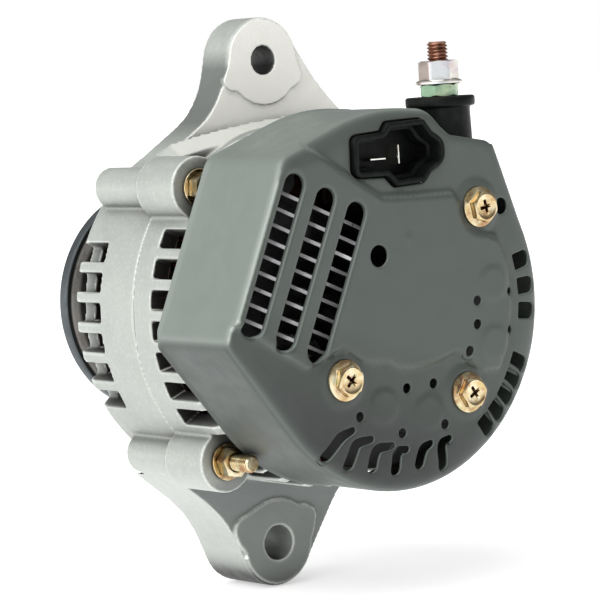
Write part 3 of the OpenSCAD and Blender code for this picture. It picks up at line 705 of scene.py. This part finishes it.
HOOKS = [[(-21.0, -31.8), (-25.6, -33.5), (-30.0, -37.8)],
         [(-14.6, -35.0), (-19.4, -35.6), (-21.2, -37.8), (-22.7, -41.2)],
         [(-7.3, -37.7), (-12.0, -37.9), (-13.8, -39.8), (-14.7, -42.8)],
         [(-2.2, -39.3), (-5.4, -40.0), (-6.5, -44.5)],
         [(6.7, -38.7), (3.9, -40.2), (2.2, -43.9)],
         [(13.6, -38.1), (10.8, -39.8), (11.1, -45.4)]]


def slot_point(u, v, tilt=24.0, mid=(-35.2, 14.5)):
    a = radians(tilt)
    return (mid[0] + u * cos(a) + v * sin(a), mid[1] + v * cos(a) - u * sin(a))


def d_vent(angle, r_in=42.4, r_out=49.0, half=2.4):
    def shape(grow):
        local = rounded([(r_in, -half), (r_out, -half), (r_out, half), (r_in, half)],
                        [0.6, 2.2, 2.2, 0.6], grow)
        a = radians(angle)
        return [(x * cos(a) - z * sin(a), x * sin(a) + z * cos(a)) for x, z in local]
    return shape


def hole_list():
    """Each opening in the cover's face as (outline function, edge rounding)."""
    def round_hole(c, r, n=20):
        return lambda grow: [(c[0] + (r + grow) * cos(2 * pi * i / n),
                              c[1] + (r + grow) * sin(2 * pi * i / n)) for i in range(n)]
    holes = []
    for k in (-1, 0, 1):
        ends = [slot_point(k * 11.4, -20), slot_point(k * 11.4, 20)]
        holes.append((lambda grow, e=ends: stroke(e, 3.3, grow, ends=14, samples=24), 1.1))
    holes += [(round_hole((-9.6, 15.8), 3.1, 28), 0.5), (round_hole((37.8, 26.2), 2.4), 0.5)]
    for c in [(25.3, 0.1), (24.9, -6.6), (21.5, -13.9), (37.5, -9.4), (38.1, 1.7), (-0.8, -22.2),
              (9, -21.9), (-18.1, -28.3), (-3.3, -34.6), (12.4, -33.9)]:
        holes.append((round_hole(c, 1.45, 16), 0.35))
    for angle in (13, 3.5, -5.8, -25, -31.5, -38, -45, -52):
        holes.append((d_vent(angle), 0.45))
    for path in HOOKS:
        holes.append((lambda grow, p=path: stroke(p, 1.65, grow, tip=1.05), 0.4))
    holes.append((lambda grow: rounded(SOCKET, SOCKET_R, grow + 0.25), 0.5))
    return holes


def inside(points, polygon):
    """Which points lie inside a closed outline."""
    x, z = points[:, 0], points[:, 1]
    p = np.asarray(polygon, float)
    q = np.roll(p, -1, axis=0)
    hit = np.zeros(len(points), bool)
    for (x0, z0), (x1, z1) in zip(p, q):
        cross = (z0 > z) != (z1 > z)
        if z1 != z0:
            hit ^= cross & (x < (x1 - x0) * (z - z0) / (z1 - z0) + x0)
    return hit


def signed_distance(points, polygon):
    """Distance to an outline, positive inside."""
    p = np.asarray(polygon, float)
    q = np.roll(p, -1, axis=0)
    best = np.full(len(points), 1e9)
    for a, b in zip(p, q):
        d = b - a
        t = np.clip(((points - a) @ d) / max(d @ d, 1e-12), 0, 1)
        best = np.minimum(best, np.hypot(*(points - a - t[:, None] * d).T))
    return np.where(inside(points, polygon), best, -best)


def smooth_step(x):
    x = np.clip(x, 0, 1)
    return x * x * (3 - 2 * x)


PLATEAU_RISE, PLATEAU_SLOPE = 1.9, 1.8
SEAT_R, SEAT_SLOPE, SEAT_RISE = 6.7, 1.6, 0.8
DIMPLE_R, DIMPLE_SLOPE, DIMPLE_RISE = 5.2, 0.6, 0.4
PIP, PIP_R, PIP_RISE = (1.2, 19.8), 1.1, 0.45


def cover_height(points, outline, normals):
    """The height of the cover's outer face at each point, as y."""
    near = np.empty(len(points), int)
    dist = np.empty(len(points))
    for start in range(0, len(points), 2000):
        part = points[start:start + 2000]
        d = np.hypot(part[:, None, 0] - outline[None, :, 0], part[:, None, 1] - outline[None, :, 1])
        near[start:start + 2000] = d.argmin(1)
        dist[start:start + 2000] = d.min(1)
    away = ((outline[near] - points) * normals[near]).sum(1)
    dist = np.where(dist < 1.5, np.maximum(away, 0), dist)
    theta = np.degrees(np.arctan2(outline[near][:, 1], outline[near][:, 0]))
    table = np.array(EDGE)
    width = np.interp(theta, table[:, 0], table[:, 1])
    depth = np.interp(theta, table[:, 0], table[:, 2])
    t = np.clip(1 - dist / width, 0, 1)
    drop = depth * (1 - np.sqrt(np.maximum(0, 1 - t * t)))

    def from_point(c):
        return np.hypot(points[:, 0] - c[0], points[:, 1] - c[1])

    raised = smooth_step(signed_distance(points, PLATEAU) / PLATEAU_SLOPE + 0.5) * PLATEAU_RISE
    for c in SCREWS:
        free = smooth_step((from_point(c) - SEAT_R) / SEAT_SLOPE)
        raised = raised * free + SEAT_RISE * (1 - free)
    for c in DIODES:
        raised += DIMPLE_RISE * smooth_step((DIMPLE_R - from_point(c)) / DIMPLE_SLOPE)
    raised += PIP_RISE * np.exp(-(from_point(PIP) / PIP_R) ** 2)
    return FACE_Y + SEAT_RISE - raised + drop


def face_points(outline, normals, holes):
    """Loose points of the face: a staggered grid, and rows that follow the edge and the openings."""
    column, row = 0.95, 1.1
    grid = []
    for i, x in enumerate(np.arange(-66, 60, column)):
        for z in np.arange(-58, 60, row):
            grid.append((x, z + (row / 2 if i % 2 else 0)))
    grid = np.array(grid)
    grid = grid[signed_distance(grid, outline[::2]) > 3.4]
    rows = [outline - normals * d for d in (0.12, 0.4, 0.9, 1.6, 2.5)]
    for shape, lip in holes:
        grid = grid[signed_distance(grid, np.array(shape(lip))) < -0.75]
        if lip > 0.4:
            rows.append(np.array(shape(lip + 0.4)))
    loose = np.vstack([grid] + rows)
    free = signed_distance(loose, outline) > 0.05
    for shape, lip in holes:
        free &= signed_distance(loose, shape(lip)) < -0.15
    return loose[free]


def flat_face(outline, normals, holes):
    """The face as flat points and triangles, and which point each one of the outlines became."""
    loops = [[tuple(p) for p in outline]] + [shape(lip) for shape, lip in holes]
    points, edges, starts = [], [], []
    for loop in loops:
        base = len(points)
        starts.append(base)
        points += loop
        edges += [(base + i, base + (i + 1) % len(loop)) for i in range(len(loop))]
    points += [tuple(p) for p in face_points(outline, normals, holes)]
    out = delaunay_2d_cdt([Vector(p) for p in points], edges, [], 0, 1e-5)
    flat, tris = np.array([tuple(v) for v in out[0]]), out[2]
    index = {old: new for new, olds in enumerate(out[3]) for old in olds}
    mids = np.array([flat[list(t)].mean(0) for t in tris])
    keep = inside(mids, outline)
    for loop in loops[1:]:
        keep &= ~inside(mids, loop)
    loops = [[index[base + i] for i in range(len(loop))] for base, loop in zip(starts, loops)]
    return flat, [tuple(t) for t, k in zip(tris, keep) if k], loops


def strip(faces, before, after):
    """Quads between two closed rows of points."""
    n = len(before)
    faces += [(before[i], before[(i + 1) % n], after[(i + 1) % n], after[i]) for i in range(n)]


def build_cover():
    outline = resampled(belt(COVER, 2.0), 0.9)
    ahead = np.roll(outline, -1, 0) - np.roll(outline, 1, 0)
    ahead /= np.hypot(*ahead.T)[:, None]
    normals = np.stack([ahead[:, 1], -ahead[:, 0]], 1)
    holes = hole_list()
    flat, faces, loops = flat_face(outline, normals, holes)
    verts = [(p[0], h, p[1]) for p, h in zip(flat, cover_height(flat, outline, normals))]

    # rounded edges that roll into each opening
    steps, tail = 4, 0.35
    for (shape, lip), loop in zip(holes, loops[1:]):
        previous = loop
        for k in range(1, steps + 2):
            t = min(k, steps) / steps * pi / 2
            drop = lip * (1 - cos(t)) + (tail if k > steps else 0)
            row = range(len(verts), len(verts) + len(loop))
            verts += [(p[0], verts[top][1] + drop, p[1]) for p, top in zip(shape(lip * (1 - sin(t))), loop)]
            strip(faces, previous, row)
            previous = row

    # side wall down to a slightly flared open edge
    previous = loops[0]
    tops = [verts[i][1] for i in loops[0]]
    left_end = cad_box[0][0] / MM + 0.01
    for share, flare in ((0.04, 0), (0.35, 0), (0.7, 0), (0.93, 0), (0.955, 0.1), (0.975, 0.32), (1.0, 0.5)):
        row = range(len(verts), len(verts) + len(outline))
        for p, normal, top in zip(outline, normals, tops):
            q = p + normal * flare
            verts.append((max(q[0], left_end), top + (RIM_Y - top) * share, q[1]))
        strip(faces, row, previous)
        previous = row
    obj = piece("rear_cover_sheet", verts, faces, "housing", "cover_paint", "rear_cover", sharp=0,
                merge=0.0005)
    thicken(obj)
    cut_notch(obj)
    shade(obj, 50)


def thicken(obj):
    """The sheet's thickness, on its inner side."""
    with editing(obj.data) as bm:
        if sum(f.normal.y * f.calc_area() for f in bm.faces) > 0:
            bmesh.ops.reverse_faces(bm, faces=bm.faces)
    solid = obj.modifiers.new("sheet", "SOLIDIFY")
    solid.thickness, solid.offset, solid.use_even_offset = SHEET * MM, -1, False
    apply_modifiers(obj)


def cut_notch(obj):
    """The notch around the output terminal, with rounded corners."""
    (x0, y0, z0), (x1, y1, z1) = NOTCH
    box = weave([[(x, y0, z0), (x, y1, z0), (x, y1, z1), (x, y0, z1)] for x in (x0, x1)], caps=True)
    notch = free_piece("notch", *box)
    outward(notch)
    bevel = notch.modifiers.new("corners", "BEVEL")
    bevel.width, bevel.segments = 2.0 * MM, 5
    apply_modifiers(notch)
    cut = obj.modifiers.new("cut", "BOOLEAN")
    cut.object, cut.solver = notch, "EXACT"
    apply_modifiers(obj)
    bpy.data.objects.remove(notch)


build_cover()


# ---- castings

def node_mesh(node):
    """A welded copy of a CAD node's mesh as a free object."""
    source = frame["nodes"][node]
    obj = bpy.data.objects.new(node + "_copy", source.data.copy())
    obj.data.transform(source.matrix_world)
    scene.collection.objects.link(obj)
    with editing(obj.data) as bm:
        bmesh.ops.remove_doubles(bm, verts=bm.verts, dist=1e-6)
    return obj


def cast(name, node, most_faces, extra):
    """A casting: the CAD shape and extra pieces, with edges and inner corners softened."""
    obj = node_mesh(node)
    obj.name = name
    with editing(obj.data) as bm:
        bm.from_mesh(mesh_of("extra", *extra))
        bmesh.ops.recalc_face_normals(bm, faces=bm.faces)
    voxels = obj.modifiers.new("voxels", "REMESH")
    voxels.mode, voxels.voxel_size, voxels.adaptivity = "VOXEL", 0.5 * MM, 0.0
    soften = obj.modifiers.new("soften", "SMOOTH")
    soften.factor, soften.iterations = 0.5, 3
    apply_modifiers(obj)
    triangles = len(obj.data.polygons) * 2
    if triangles > most_faces:
        obj.modifiers.new("lean", "DECIMATE").ratio = most_faces / triangles
        apply_modifiers(obj)
    obj.data.materials.clear()
    obj.data.materials.append(MAT["cast_aluminium"])
    shade(obj, 0)
    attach(obj, "housing")
    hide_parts(node)


def ear_pad(side, hole_r, wings, y_rear, y_front):
    """A machined pad on an ear: an arc about the hole, closed by a wavy row of points."""
    centre = (0, side * EAR_REACH)
    outline = resampled(arc(centre, 12.3, 5 * side, 170 * side, 10) + wings, 0.8)
    hole = [np.array(centre) + (p - centre) / np.hypot(*(p - centre)) * (hole_r + 0.1) for p in outline]
    rings = [[(p[0], y, p[1]) for p in line] for line, y in
             ((outline, y_front), (outline, y_rear), (hole, y_rear), (hole, y_front))]
    return weave(rings, close=True)


def rear_flange():
    """The rear frame's flange over its two upper bosses, which slopes down to the rear."""
    front, rear, fall = -55.0, -60.5, 3.6
    crest = [(-41, 46.8), (-36, 49.4), (-27, 51.2), (-18, 52.6), (-6, 54.2), (8, 55.3), (20, 55.6),
             (29, 53.5), (36, 49.6), (41, 46.8)]
    rings = []
    for x, top in crest:
        root = sqrt(max(51.5 ** 2 - x ** 2, 37 ** 2))
        low = max(top - fall, root + 0.2)
        rings.append([(x, front, root), (x, front, top), (x, rear, low), (x, rear - 0.5, root)])
    return weave(rings, caps=True)


EAR_REACH = 71.8
UPPER_WINGS = [(-13.0, 70.0), (-14.7, 66.8), (-14.3, 65.0), (-12.6, 63.6), (-9.6, 63.0), (-7.5, 61.1),
               (-4.3, 59.4), (-0.4, 58.7), (3.6, 59.1), (7.4, 60.7), (9.5, 62.9), (11.9, 63.9), (13.9, 65.6),
               (14.1, 67.6), (13.2, 70.4)]
LOWER_WINGS = [(-13.4, -72.0), (-14.8, -70.1), (-15.8, -67.0), (-15.3, -64.4), (-13.8, -63.1),
               (-10.9, -62.1), (-8.2, -60.8), (-4.1, -59.2), (-0.9, -58.7), (3.0, -59.0), (6.6, -60.2),
               (8.9, -61.6), (11.6, -61.7), (14.2, -63.2), (14.8, -65.4), (13.6, -70.0)]
cast("drive_end_casting", "drive_end_frame", 150000,
     join([ear_pad(1, 4.25, UPPER_WINGS, -54.0, -52.0), ear_pad(-1, 5.25, LOWER_WINGS, -47.7, -46.0)]))
cast("rear_frame_casting", "rear_frame", 130000, rear_flange())


# ---- fasteners and terminal

def cross_radius(angle, reach=2.15, half=0.52):
    """The radius of a cross-shaped outline with rounded tips."""
    a = (angle + pi / 4) % (pi / 2) - pi / 4
    side = half / max(abs(sin(a)), 1e-6)
    tip = sqrt(reach ** 2 - min(reach * abs(sin(a)), half) ** 2) if side > half else reach
    return min(side, tip, half * 1.9 if abs(a) > 0.75 else reach)


def cover_bolt(k, at, turn):
    """A flange bolt: a washer face, a hexagon with a dished top and a cross recess. The first one
    stands for the node of all three."""
    face = -FACE_Y
    top = face + 3.6

    def hexagon(a):
        return hex_radius(a, 8)

    def cone(r):
        return top - max(0, r - 3.75) * 0.6

    washer = [(0.01, -14), (2.0, -14), (2.48, -13.5), (2.48, 0), (5.6, 0), (5.88, 0.12), (5.9, 0.35),
              (5.75, 0.72), (5.2, 0.95)]
    sections = [(r, face + h) for r, h in washer]
    sections += [(lambda a: hexagon(a) + 0.25, face + 1.2), (hexagon, face + 1.45), (hexagon, cone),
                 (lambda a: min(hexagon(a), 3.85), cone), (3.6, top), (3.3, top - 0.12), (2.9, top - 0.28)]
    sections += [(lambda a, share=share: cross_radius(a) * share, top - h)
                 for share, h in ((1, 0.3), (0.93, 0.45), (0.6, 1.9))]
    sections.append((0.01, top - 2.3))
    rings = [free_ring(place("rear", at), 120, radians(turn), *section) for section in sections]
    piece("cover_bolt_%d" % k, *weave(rings, caps=True), "housing", "yellow_zinc", sharp=34,
          node=None if k else "cover_bolts")


for k, turn in enumerate((12, 31, 47)):
    cover_bolt(k, SCREWS[k], turn)


def build_terminal():
    """The output stud, its insulator, lock nut and flanged nut, from below upwards."""
    up = place("up", (27.6, -100.5))
    bore, flats = 3.02, 10
    insulator_top, flange_low, flange_top, nut_top = 58.5, 62.0, 63.0, 68.8
    piece("output_stud_thread", *thread(up, 3.0, 1.0, 40, 74.2, 0.7), "housing", "copper_plated",
          "output_stud", sharp=60, merge=0.001)
    piece("output_lock_hex", *hex_nut(up, flats, insulator_top, flange_low, bore, radians(8)), "housing",
          "green_zinc", "output_lock_nut", sharp=32)
    flange = lathe(up, [(bore, flange_low), (6.5, flange_low), (6.7, 62.2), (6.7, 62.7), (6.4, flange_top),
                        (4.8, 63.6), (bore, 63.6)], 72, close=True)
    hexagon = hex_nut(up, flats, flange_top, nut_top, bore, radians(-6), low_cone=False)
    piece("output_flange_nut", *join([flange, hexagon]), "housing", "yellow_zinc", "output_nut",
          mats=["rainbow_zinc"], sharp=32)
    body = lathe(up, [(3.05, 41), (8.5, 41), (8.9, 41.3), (8.75, 44), (8.45, 54.6), (8.55, 55.2),
                      (8.9, 55.45), (9.6, 55.55), (9.95, 55.9), (10.0, 56.3), (10.0, 57.9), (9.8, 58.3),
                      (9.4, insulator_top), (6.6, insulator_top), (6.2, 58.1), (5.9, 58.1), (3.05, 58.1)],
                 close=True)
    piece("output_insulator_body", *body, "housing", "black_plastic", "output_insulator", sharp=40)


build_terminal()

BOLT_REACH, NUT_SEAT = 54.5, 73.0
# Each through bolt's angle around the rotor, its front end and its length beyond the nut's seat
THROUGH_BOLTS = [(49, 32.5, 6.5), (-43, 34.2, 6.5), (137, 32.5, 12.5), (229, 34.2, 12.5)]


def build_through_bolts():
    r, seat, thread_low = 2.5, NUT_SEAT, NUT_SEAT - 6
    nuts, washers, rods = [], [], []
    for k, (angle, front, tail) in enumerate(THROUGH_BOLTS):
        put = place("rear", polar(BOLT_REACH, angle))
        washers.append(lathe(put, [(2.6, seat), (5.25, seat), (5.4, seat + 0.12), (5.4, seat + 0.88),
                                   (5.25, seat + 1), (2.6, seat + 1)], 64, close=True))
        nuts.append(hex_nut(put, 8, seat + 1, seat + 5, 2.52, radians(11 + 23 * k)))
        shank = [(0.01, thread_low + 0.1), (r - 0.05, thread_low + 0.1), (r - 0.05, front), (0.01, front)]
        rods.append(join([thread(put, r, 0.8, thread_low, seat + tail, 0.6),
                          lathe(put, shank, 32, caps=True)]))
    for name, parts, node in (("through_bolt_washer_set", washers, "through_bolt_washers"),
                              ("through_bolt_nut_set", nuts, "through_bolt_nuts"),
                              ("through_bolt_set", rods, "through_bolts")):
        piece(name, *join(parts), "housing", "yellow_zinc", node, sharp=34, merge=0.001)


build_through_bolts()


# ---- connector socket

# The shell's outline is moved outwards by the first value at each place along the rotor's axis
SHELL = [(0, -103.2), (0, -113.6), (-0.05, -114.4), (-0.2, -114.7), (-0.45, -114.8), (-1.2, -114.8),
         (-1.5, -114.65), (-1.62, -114.3), (-1.7, -110.0), (-2.6, -109.6), (-2.7, -105.2)]
# Each blade's low and high x, and its low and high z
BLADES = [(-6.2, -0.4, 42.0, 42.8), (3.8, 4.6, 40.5, 46.2)]


def build_socket():
    rings = [[(x, y, z) for x, z in rounded(SOCKET, SOCKET_R, grow)] for grow, y in SHELL]
    piece("connector_shell", *weave(rings, caps=True), "housing", "black_plastic", "connector_socket",
          sharp=40)
    blades = []
    for x0, x1, z0, z1 in BLADES:
        sections = [[(x0 + cut, y, z0 + cut), (x1 - cut, y, z0 + cut), (x1 - cut, y, z1 - cut),
                     (x0 + cut, y, z1 - cut)] for y, cut in ((-105, 0), (-108.6, 0), (-109.0, 0.22))]
        blades.append(weave(sections, caps=True))
    piece("connector_blades", *join(blades), "housing", "tinned_brass", "connector_pins", sharp=30)


build_socket()


# ---- pulley and windings

def build_pulley():
    """A V-belt pulley: a hub, a web and a rim whose two flanks mirror each other."""
    front_hub = [(21.4, 11), (20.9, 10.6), (20.1, 2.4), (19.6, 2), (8.55, 2)]
    rear_hub = [(8.52, -10.5), (13.2, -10.5), (13.6, -10.1), (14, -6.3), (14.4, -6), (21.6, -6),
                (22.1, -6.4), (22.9, -10.7), (23.2, -11)]
    flank = [(33.7, -11), (34.2, -10.8), (34.5, -10.3), (34.5, -7.6), (34.35, -7.15), (34.0, -6.85),
             (24.2, -3.75), (23.7, -3.4), (23.5, -2.9)]
    profile = rear_hub + flank + [(r, -y) for r, y in reversed(flank)] + front_hub
    obj = piece("pulley_wheel", *lathe(place("front", (0, 0)), profile, 160, close=True), "rotor",
                "pulley_steel", "pulley", mats=["pulley_steel", "groove_steel"], sharp=30)
    groove_half, root_r, rim_r = 7.0, 23.0, 34.2
    for poly in obj.data.polygons:
        r = hypot(poly.center.x, poly.center.z) / MM
        if abs(poly.center.y / MM) < groove_half and root_r < r < rim_r:
            poly.material_index = 1


build_pulley()


def tube_mesh(path, radius, sides=6):
    """A tube along a path of points around the rotor's axis."""
    rings = []
    for i, p in enumerate(path):
        before, after = Vector(path[max(0, i - 1)]), Vector(path[min(len(path) - 1, i + 1)])
        d = (after - before).normalized()
        side = d.cross(Vector(p).normalized()).normalized()
        other = d.cross(side)
        turns = [2 * pi * k / sides for k in range(sides)]
        rings.append([tuple(Vector(p) + (side * cos(a) + other * sin(a)) * radius) for a in turns])
    return weave(rings, caps=True)


def end_turn(start, radius, rise, y_face, way, span):
    """One wire's hop between two slots. It swings outwards in its second half."""
    path = []
    for s in range(15):
        t = s / 14
        a = start + span * t
        r = radius + (0.9 if t > 0.5 else -0.54) * sin(pi * t)
        path.append((r * cos(a), y_face + way * rise * sin(pi * t) ** 0.55, r * sin(a)))
    return path


def build_windings():
    """End turns that hop from slot to slot, on both faces of the core, and the wires in the slots."""
    slots, wire_r = 36, 0.85
    pitch = radians(360 / slots)
    parts = []
    for y_face, way in ((-39.0, 1), (-62.0, -1)):
        for k in range(slots):
            for radius, rise in ((40.2, 8.4), (42.2, 9.6), (44.1, 8.8)):
                parts.append(tube_mesh(end_turn(k * pitch, radius, rise, y_face, way, 3 * pitch), wire_r))
    for k in range(slots):
        a = k * pitch
        for r in (39.6, 41.4, 43.2, 44.8):
            parts.append(tube_mesh([(r * cos(a), y, r * sin(a)) for y in (-38, -63)], wire_r))
    piece("stator_end_turns", *join(parts), "housing", "enamelled_copper", "stator_winding", sharp=50)


build_windings()


# ---- springs, and the CAD nodes that stay

SLOT_OF = {s["node"]: s["material_slot"] for s in frame["record"]["subparts"]}


def brush_spring(side):
    """A coil spring that presses against the holder's cap, a copy of the CAD node's mesh that rides the
    housing.
    """
    node = "brush_spring_" + side
    obj = node_mesh(node)
    obj.name = "pressure_spring_" + side
    obj.data.materials.clear()
    obj.data.materials.append(MAT[SLOT_OF[node]])
    shade(obj, 60)
    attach(obj, "housing")
    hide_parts(node)
    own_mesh(obj)


for side in ("front", "rear"):
    brush_spring(side)

# Nodes whose look is not the one of their material slot. The dark aluminium look carries painted shade.
LOOKS = {"rectifier_ground_plate": "dull_aluminium", "rectifier_diodes": "dull_aluminium",
         "regulator_heatsink": "dull_aluminium", "rectifier_screws": "soft_iron"}


def finish_node(node, obj):
    """A CAD node's look and slightly rounded edges. The fins stay sharp, and the balls are round."""
    for k in range(len(obj.material_slots)):
        obj.material_slots[k].material = MAT[LOOKS.get(node, SLOT_OF[node])]
    obj.modifiers.new("weld", "WELD").merge_threshold = 1e-6
    if node == "rectifier_heatsink":
        obj.modifiers.new("flat", "EDGE_SPLIT").split_angle = radians(20)
    elif "ball" not in node:
        bevel = obj.modifiers.new("edge", "BEVEL")
        bevel.width, bevel.segments = 0.25 * MM, 2
        bevel.limit_method, bevel.angle_limit = "ANGLE", radians(40)
        bevel.use_clamp_overlap = True
        obj.modifiers.new("shading", "WEIGHTED_NORMAL").keep_sharp = True


for node, obj in frame["nodes"].items():
    if not obj.hide_render:
        finish_node(node, obj)


# ---- floor, light and camera

def build_floor():
    z, reach = cad_box[0][2] / MM - 0.2, 9000
    floor = free_piece("floor", [(x, y, z) for x, y in ((-reach, -reach), (reach, -reach), (reach, reach),
                                                        (-reach, reach))], [(0, 1, 2, 3)])
    white = Nodes("floor_white", (0.87, 0.87, 0.87), 0.0, 0.9, **{"Specular IOR Level": 0.1})
    white.shader.inputs["Emission Color"].default_value = (1, 1, 1, 1)
    white.shader.inputs["Emission Strength"].default_value = 0.48
    floor.data.materials.append(white.spots(0.86, 8, 0.4, 0.7).done())


def build_world():
    """A pale studio: a white horizon, a dim band above it, a grey ceiling and a large soft window at -X."""
    world = bpy.data.worlds.new("studio")
    scene.world = world
    world.use_nodes = True
    sky = Tree(world.node_tree)
    direction = sky.add("ShaderNodeSeparateXYZ")
    sky.link(sky.add("ShaderNodeTexCoord").outputs["Generated"], direction.inputs[0])
    left = sky.add("ShaderNodeMath", operation="MULTIPLY")
    left.inputs[1].default_value = -1
    sky.link(direction.outputs["X"], left.inputs[0])
    height = sky.ramp(direction.outputs["Z"], (0.0, 1), (0.1, 1), (0.2, 0.22), (0.45, 0.22), (0.7, 0.6),
                      (1.0, 0.7))
    window = sky.ramp(left.outputs["Value"], (0.0, 0), (0.45, 0), (0.85, 1), (1.0, 1))
    both = sky.add("ShaderNodeAddShader")
    for k, (level, strength) in enumerate(((height, 1.0), (window, 1.5))):
        light = sky.add("ShaderNodeBackground", Strength=strength)
        sky.link(level, light.inputs["Color"])
        sky.link(light.outputs["Background"], both.inputs[k])
    sky.link(both.outputs["Shader"], sky.tree.nodes["World Output"].inputs["Surface"])


def build_key():
    """A very large far lamp, so its light is even over the floor and its shadows are soft."""
    light = bpy.data.lights.new("key", "SUN")
    light.energy, light.angle, light.color = 1.9, radians(60), (1.0, 0.998, 0.99)
    obj = bpy.data.objects.new("key", light)
    obj.rotation_euler = (-Vector((-0.62, -0.22, 0.75))).to_track_quat("-Z", "Y").to_euler()
    scene.collection.objects.link(obj)


def build_camera():
    """From behind, left and slightly above, turned a little about its own axis."""
    heading, elevation, roll = radians(-37.363), radians(4.452), radians(-3.379)
    target, distance = Vector((-3.870, -70, 1.882)) * MM, 0.9066
    back = Vector((sin(heading) * cos(elevation), -cos(heading) * cos(elevation), sin(elevation)))
    right = Vector((cos(heading), sin(heading), 0))
    above = back.cross(right)
    x = right * cos(roll) + above * sin(roll)
    y = above * cos(roll) - right * sin(roll)
    cam = bpy.data.cameras.new("camera")
    cam.sensor_width, cam.lens = 36, 187.3842
    cam.clip_start, cam.clip_end = 0.01, 50
    obj = bpy.data.objects.new("camera", cam)
    pose = Matrix((x, y, back)).transposed().to_4x4()
    pose.translation = target + back * distance
    obj.matrix_world = pose
    scene.collection.objects.link(obj)
    scene.camera = obj


build_floor()
build_world()
scene.view_settings.view_transform = "Standard"
build_key()
build_camera()
